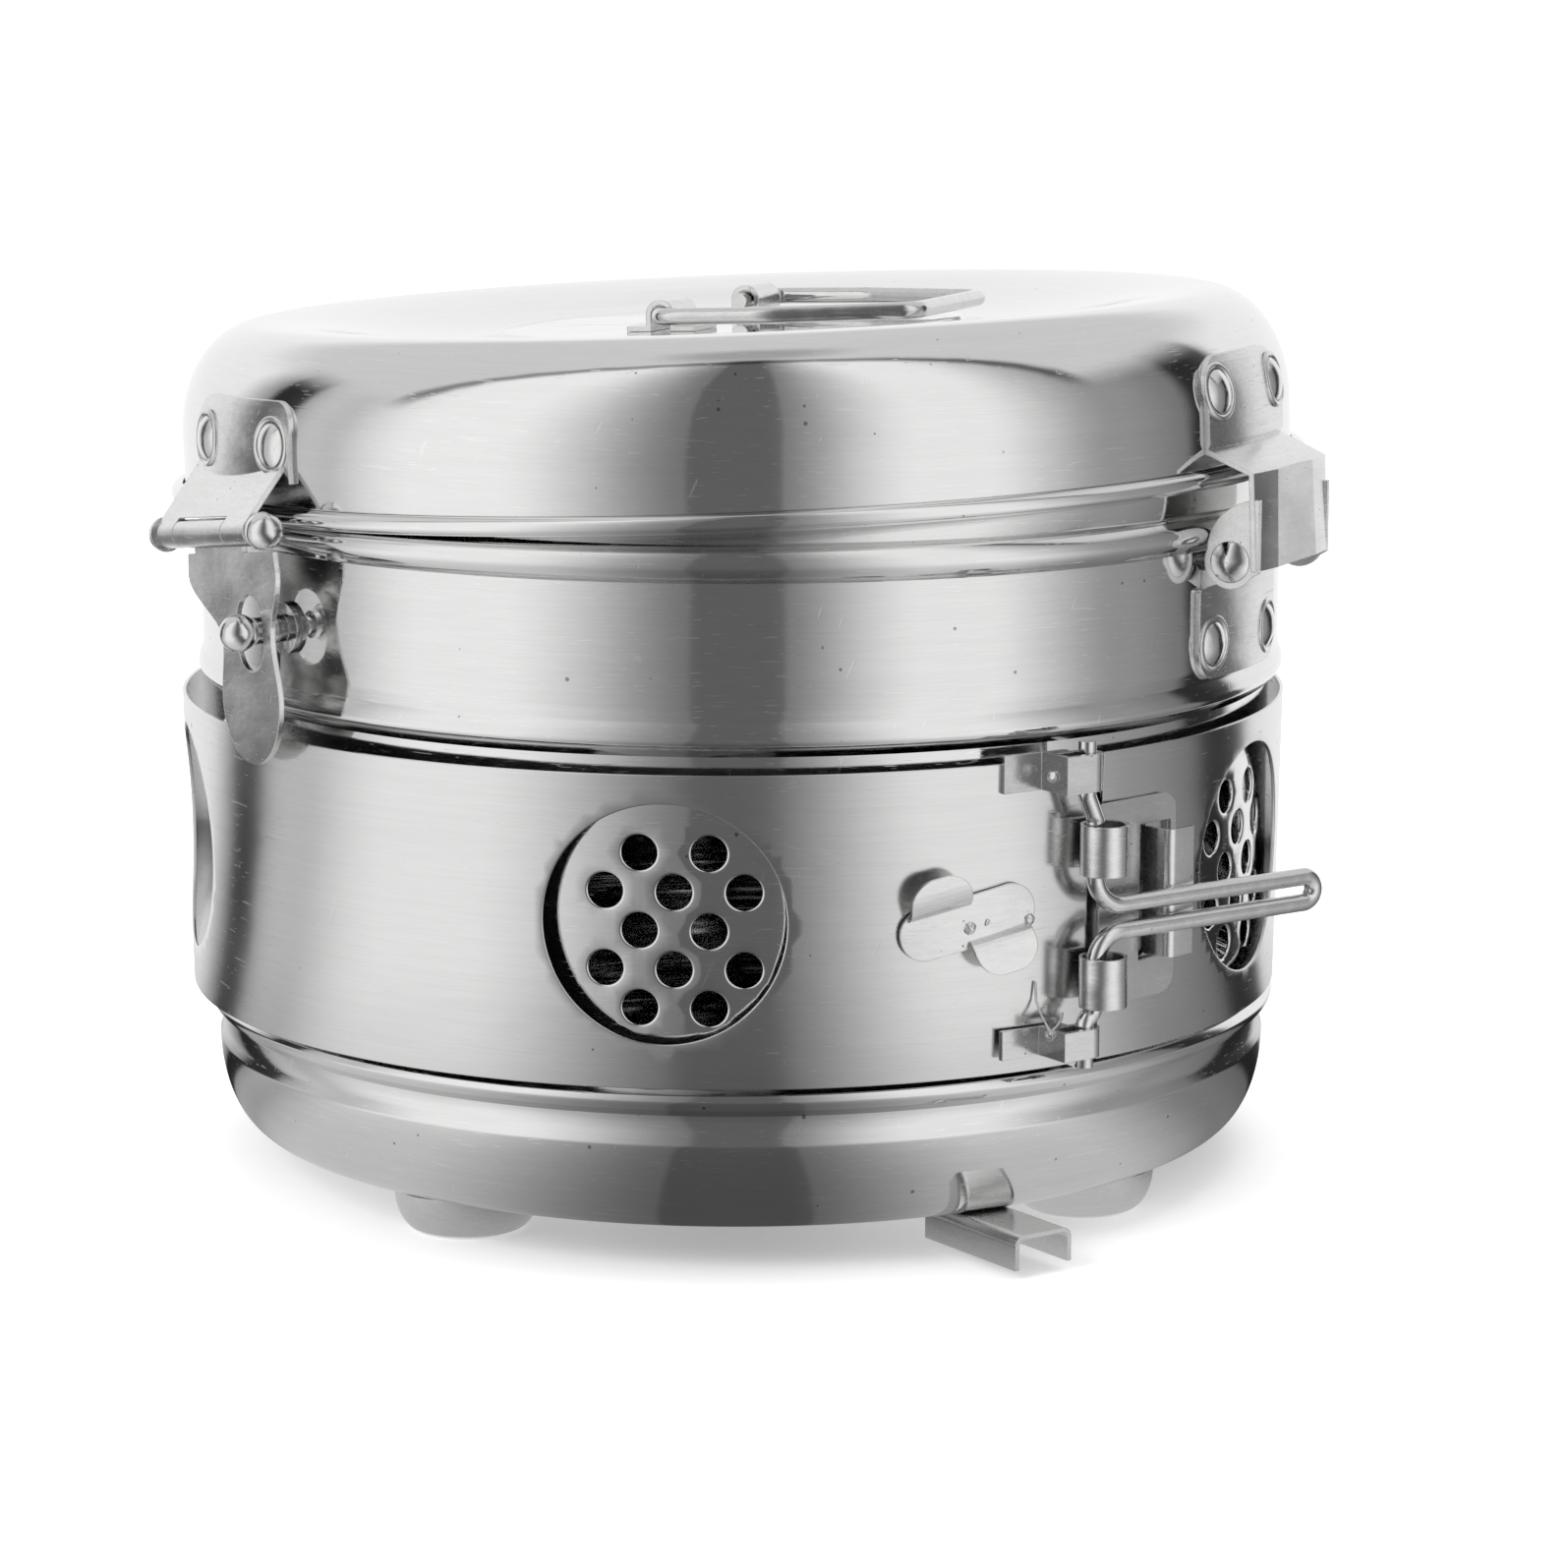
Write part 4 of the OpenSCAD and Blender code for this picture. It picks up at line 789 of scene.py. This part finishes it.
def buildTongue():
    # The band's hook: raised through the link plate, then folded to the right
    s = bandSettings
    top = s["radius"] + s["tongueOut"]
    fold = 1.0
    path = [(s["tongueX"] + s["sheet"] / 2, s["radius"] - 0.5), (s["tongueX"] + s["sheet"] / 2, top - fold)]
    path += arc(s["tongueX"] + s["sheet"] / 2 + fold, top - fold, fold, 180, 90, 6)
    path.append((s["tongueX"] + s["tongueLength"], top))
    left, right = offsetPath(path, s["sheet"] / 2), offsetPath(path, -s["sheet"] / 2)
    loop = left + right[::-1]
    place = bandPlace @ turned(s["tongueTurn"])
    shape = bmesh.new()
    rings = []
    for height in (s["tongueBottom"] + 0.3, s["tongueBottom"] + s["tongueHeight"] - 0.3):
        rings.append([shape.verts.new(place @ (Vector((x, -y, height)) * mm)) for x, y in loop])
    count = len(loop)
    for k in range(count):
        after = (k + 1) % count
        shape.faces.new((rings[0][k], rings[0][after], rings[1][after], rings[1][k]))
    half = len(left)
    for ring in rings:
        for k in range(half - 1):
            shape.faces.new((ring[k], ring[k + 1], ring[count - 2 - k], ring[count - 1 - k]))
    tongue = finishMesh("bandHook", shape, "cutPlate", 35)
    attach(tongue, "band")


buildTongue()


# Wires ---------------------------------------------------------------------

def buildBail():
    corners = [(-9.2, 0, 0), (-22.4, 0, 3), (-21.056, 17.325, 12), (-13.44, 38.5, 3), (13.44, 38.5, 3),
               (21.056, 17.325, 12), (22.4, 0, 3), (9.2, 0, 0)]
    shape = bmesh.new()
    sweep(shape, [bailPlace @ (Vector((p.x, p.y, 0)) * mm) for p in bentPath(corners)], 1.25 * mm, 32, 0.012)
    bail = finishMesh("bailWire", shape, "bentWire", 50)
    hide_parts("bail_handle")
    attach(bail, "bail")


def buildLatchWire():
    corners = [(0, 76.0, 0), (0, 68.3, 1.6), (1.6, 64.65, 1.6), (1.6, 52.0, 5), (42, 52.0, 1.9),
               (42, 48.2, 1.9), (1.6, 48.2, 5), (1.6, 37.05, 1.6), (0, 35.8, 1.6), (0, 29.3, 0)]
    shape = bmesh.new()
    sweep(shape, [pivotPlace @ (Vector((p.x, p.y, 0)) * mm) for p in bentPath(corners)], 1.3 * mm, 32, 0.012)
    wire = finishMesh("latchWire", shape, "bentWire", 50)
    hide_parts("latch_wire")
    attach(wire, "latch_lever")


buildBail()
buildLatchWire()


detailSettings = {
    # weld dots in the band's frame: place in mm, outward direction, radius
    "welds": [((33.75, -78.15, 50.4), (0.4, -0.92, 0), 0.95), ((42.17, -73.98, 50.8), (0.49, -0.87, 0), 0.9),
              ((36.2, -77.0, 51.0), (0.42, -0.91, 0), 0.6), ((45.1, -74.9, 71.3), (-0.82, -0.57, 0), 0.95),
              ((45.1, -74.85, 34.3), (-0.82, -0.57, 0), 0.85)],
    # burrs that stand up from the lower weld
    "burrs": [[(45.2, -75.1, 34.9), (44.6, -74.6, 36.0), (43.9, -73.5, 37.2), (43.3, -72.6, 38.8),
               (43.2, -72.3, 41.5)],
              [(45.4, -75.0, 34.9), (46.2, -74.2, 35.5), (46.9, -73.1, 36.2), (47.1, -72.2, 36.9)]],
    "ringWidth": 0.8, "ringHeight": 0.2,
}


def facing(centre, outward):
    # A place whose Z axis points outward
    turn = Vector(outward).normalized().to_track_quat("Z", "Y").to_matrix().to_4x4()
    return Matrix.Translation(Vector(centre)) @ turn


def buildWelds():
    shape = bmesh.new()
    for index, (centre, outward, radius) in enumerate(detailSettings["welds"]):
        place = bandPlace @ facing(Vector(centre) * mm, outward)
        loop = [(radius * math.cos(math.radians(t)), radius * 0.55 * math.sin(math.radians(t)) - 0.12)
                for t in range(-20, 90, 10)] + [(0, radius * 0.55 - 0.12)]
        fresh = len(shape.verts)
        revolve(shape, loop, 28, place, closed=False)
        shape.verts.ensure_lookup_table()
        for vert in shape.verts[fresh:]:
            spot = vert.co / mm
            vert.co += (noise.noise_vector(spot * 1.6 + Vector((index * 7.0, 0, 0))) * 0.16
                        + noise.noise_vector(spot * 4.0) * 0.07) * mm
    bmesh.ops.holes_fill(shape, edges=[edge for edge in shape.edges if edge.is_boundary], sides=0)
    welds = finishMesh("weldDots", shape, "weldMetal", 60)
    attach(welds, "band")

    shape = bmesh.new()
    for path in detailSettings["burrs"]:
        points = [bandPlace @ (Vector(point) * mm) for point in path]
        fine = []
        for a, b in zip(points, points[1:]):
            fine += [a.lerp(b, k / 6) for k in range(6)]
        sweep(shape, fine + [points[-1]], 0.17 * mm, 10, 0.25)
    burrs = finishMesh("burrSlivers", shape, "weldMetal", 60)
    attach(burrs, "band")


def islands(mesh):
    # The separate closed parts of a node's mesh, as lists of faces
    shape = bmesh.new()
    shape.from_mesh(mesh)
    bmesh.ops.remove_doubles(shape, verts=shape.verts, dist=1e-7)
    seen = set()
    for first in shape.faces:
        if first in seen:
            continue
        seen.add(first)
        stack, part = [first], []
        while stack:
            face = stack.pop()
            part.append(face)
            for edge in face.edges:
                for other in edge.link_faces:
                    if other not in seen:
                        seen.add(other)
                        stack.append(other)
        yield part
    shape.free()


def buildRings(name, nodeName, body):
    # The pressed ring in the sheet round each rivet
    s = detailSettings
    shape = bmesh.new()
    for part in islands(nodes[nodeName].data):
        verts = list(dict.fromkeys(vert for face in part for vert in face.verts))
        middle = sum((vert.co for vert in verts), Vector()) / len(verts)
        away = Vector((middle.x, middle.y, 0)).normalized()
        axis = sum((face.normal * face.calc_area() for face in part if face.normal.dot(away) > 0.5),
                   Vector()).normalized()
        reaches = {vert: ((vert.co - middle) - axis * (vert.co - middle).dot(axis)).length for vert in verts}
        widest = max(reaches.values())
        rim = [vert for vert in verts if reaches[vert] > widest * 0.985]
        level = max((vert.co - middle).dot(axis) for vert in rim)
        reach, base = widest / mm, level / mm
        loop = [(reach - 0.25, base - 0.25), (reach + 0.06, base - 0.25), (reach + 0.16, base + 0.02)]
        loop += [(reach + 0.16 + s["ringWidth"] * k / 8,
                  base + 0.02 + s["ringHeight"] * math.sin(math.pi * k / 8) ** 0.8) for k in range(1, 8)]
        loop += [(reach + 0.16 + s["ringWidth"], base), (reach + 0.16 + s["ringWidth"], base - 0.3),
                 (reach - 0.25, base - 0.3)]
        revolve(shape, loop, 64, Matrix.Translation(middle) @ axis.to_track_quat("Z", "Y").to_matrix().to_4x4())
    rings = finishMesh(name, shape, "pressedPlate", 50)
    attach(rings, body)


buildWelds()
for ringName, ringNode, ringBody in (("claspRivetRings", "clasp_rivets", "lid"),
                                     ("lidHingeRivetRings", "lid_hinge_rivets", "lid"),
                                     ("bodyHingeRivetRings", "body_hinge_rivets", "drum")):
    buildRings(ringName, ringNode, ringBody)
print("wires made")


# Studio --------------------------------------------------------------------

studioSettings = {
    "camera": (0.00665, -0.72477, 0.1904), "pitch": 79.527, "lens": 109.0,
    # softboxes: middle and half width in degrees from the front (left negative), strength, softness
    "boxes": [(-56, 49, 0.83, 0.84), (43, 38, 0.79, 0.85), (-96, 13, 0.30, 1), (80, 24, 0.14, 1),
              (180, 71, 0.78, 0.26), (-0.2, 9.6, -0.07, 0.12)],
    # dark gaps between them: middle, half width
    "gaps": [(-107, 7.0), (111, 12)],
    "front": 0.205, "ceiling": 0.72, "reach": 1.2, "underFloor": 0.60,
}


def makeTent():
    # The grey of the tent at a point, from its turn round the jar and its height
    s = studioSettings
    material = bpy.data.materials.new("tentLight")
    material.use_nodes = True
    tree = material.node_tree
    tree.nodes.clear()
    place = tree.nodes.new("ShaderNodeTexCoord").outputs["Object"]
    split = tree.nodes.new("ShaderNodeSeparateXYZ")
    tree.links.new(place, split.inputs[0])
    turn = addMath(tree, "ARCTAN2", split.outputs[0], addMath(tree, "MULTIPLY", split.outputs[1], -1))
    turn = addMath(tree, "MULTIPLY", turn, 180 / math.pi)

    def lobe(middle, half, strength, soft=1.0):
        away = addMath(tree, "ABSOLUTE", addMath(tree, "SUBTRACT", turn, middle))
        if middle > 150:
            away = addMath(tree, "ABSOLUTE", addMath(tree, "SUBTRACT", addMath(tree, "ABSOLUTE", turn), 180))
        return addRange(tree, away, half * (1 - soft), half, strength, 0)

    total = s["front"]
    for box in s["boxes"]:
        total = addMath(tree, "ADD", lobe(*box), total)
    for middle, half in s["gaps"]:
        total = addMath(tree, "MULTIPLY", total, addMath(tree, "SUBTRACT", 1, lobe(middle, half, 0.85, 0.45)))
    # Above, the light passes over to an even ceiling
    level = addMath(tree, "ADD", split.outputs[1], 0.21)
    overhead = addRange(tree, level, 0.0, 0.08, 0, 1)
    high = addRange(tree, split.outputs[2], 0.55, 0.8, 0, 1)
    seam = addRange(tree, addMath(tree, "ABSOLUTE", level), 0.01, 0.08, 0.7, 0)
    total = addMath(tree, "MULTIPLY", total,
                    addMath(tree, "SUBTRACT", 1, addMath(tree, "MULTIPLY", seam, high)))
    total = addMath(tree, "ADD", addMath(
        tree, "MULTIPLY", total, addMath(tree, "SUBTRACT", 1, addMath(tree, "MULTIPLY", overhead, high))),
        addMath(tree, "MULTIPLY", addMath(tree, "MULTIPLY", overhead, high), s["ceiling"]))
    # The floor close to the jar lies in its shade
    apart = addMath(tree, "SQRT", addMath(tree, "ADD", addMath(tree, "POWER", split.outputs[0], 2),
                                          addMath(tree, "POWER", split.outputs[1], 2)))
    shade = addRange(tree, apart, 0.07, 0.26, s["underFloor"], 1)
    total = addMath(tree, "MULTIPLY", total, shade)
    glow = tree.nodes.new("ShaderNodeEmission")
    tree.links.new(addCombine(tree, total, total, total), glow.inputs["Color"])
    target = tree.nodes.new("ShaderNodeOutputMaterial")
    tree.links.new(glow.outputs[0], target.inputs["Surface"])
    return material


def addTent():
    # A tent of light round the jar, seen only in the metal
    reach = studioSettings["reach"]
    shape = bmesh.new()
    path = [(0.02, 0.0005), (0.2, 0.0005), (0.5, 0.0005), (reach, 0.0005)]
    path += [(reach * math.cos(math.radians(e)), 0.0005 + reach * math.sin(math.radians(e)))
             for e in range(3, 90, 3)] + [(0, reach)]
    revolve(shape, [(r / mm, z / mm) for r, z in path], 96, Matrix.Identity(4), closed=False)
    mesh = bpy.data.meshes.new("tent")
    shape.to_mesh(mesh)
    shape.free()
    mesh.shade_smooth()
    tent = bpy.data.objects.new("tent", mesh)
    bpy.context.scene.collection.objects.link(tent)
    mesh.materials.append(makeTent())
    for flag in ("visible_camera", "visible_diffuse", "visible_transmission", "visible_volume_scatter",
                 "visible_shadow"):
        setattr(tent, flag, False)


def buildStudio():
    s = studioSettings
    addTent()
    world = bpy.data.worlds.new("studioWorld")
    bpy.context.scene.world = world
    world.use_nodes = True
    tree = world.node_tree
    back = tree.nodes["Background"]
    rays = tree.nodes.new("ShaderNodeLightPath")
    seen = addMath(tree, "MAXIMUM", rays.outputs["Is Camera Ray"], rays.outputs["Is Transmission Ray"])
    seen = addMath(tree, "MAXIMUM", seen, rays.outputs["Is Glossy Ray"])
    tree.links.new(mixColour(tree, seen, (0.80, 0.80, 0.80), (1.0, 1.0, 1.0)), back.inputs["Color"])
    back.inputs["Strength"].default_value = 1.0

    mesh = bpy.data.meshes.new("floor")
    shape = bmesh.new()
    for x, y in ((-6, -6), (6, -6), (6, 6), (-6, 6)):
        shape.verts.new((x, y, 0))
    shape.faces.new(shape.verts)
    shape.to_mesh(mesh)
    shape.free()
    floor = bpy.data.objects.new("floor", mesh)
    bpy.context.scene.collection.objects.link(floor)
    paper = bpy.data.materials.new("paleFloor")
    paper.use_nodes = True
    tree = paper.node_tree
    shader = tree.nodes["Principled BSDF"]
    shader.inputs["Roughness"].default_value = 0.9
    shader.inputs["Specular IOR Level"].default_value = 0.0
    place = tree.nodes.new("ShaderNodeTexCoord").outputs["Object"]
    tint = addRange(tree, addNoise(tree, place, 3.0), 0.3, 0.7, 0.0, 1.0)
    tree.links.new(mixColour(tree, tint, (0.93, 0.93, 0.93), (0.95, 0.95, 0.95)),
                   shader.inputs["Base Color"])
    shader.inputs["Emission Color"].default_value = (1, 1, 1, 1)
    shader.inputs["Emission Strength"].default_value = 0.30
    mesh.materials.append(paper)

    for name, place, size, power, aim in (
            ("leftSoftbox", (-0.75, -0.75, 0.75), 0.6, 5.0, (0, 0, 0.06)),
            ("topSoftbox", (0.1, 0.1, 1.1), 0.8, 5.0, (0, 0, 0.1))):
        lamp = bpy.data.lights.new(name, "AREA")
        lamp.shape = "SQUARE"
        lamp.size = size
        lamp.energy = power
        thing = bpy.data.objects.new(name, lamp)
        bpy.context.scene.collection.objects.link(thing)
        thing.location = place
        thing.rotation_euler = (Vector(aim) - Vector(place)).to_track_quat("-Z", "Y").to_euler()
        thing.visible_glossy = False

    camera = bpy.data.objects.new("camera", bpy.data.cameras.new("camera"))
    bpy.context.scene.collection.objects.link(camera)
    camera.location = s["camera"]
    camera.rotation_euler = (math.radians(s["pitch"]), 0, 0)
    camera.data.sensor_width = 36
    camera.data.lens = s["lens"]
    camera.data.clip_start = 0.01
    bpy.context.scene.camera = camera
    bpy.context.scene.view_settings.view_transform = "Standard"


buildStudio()
print("studio made")
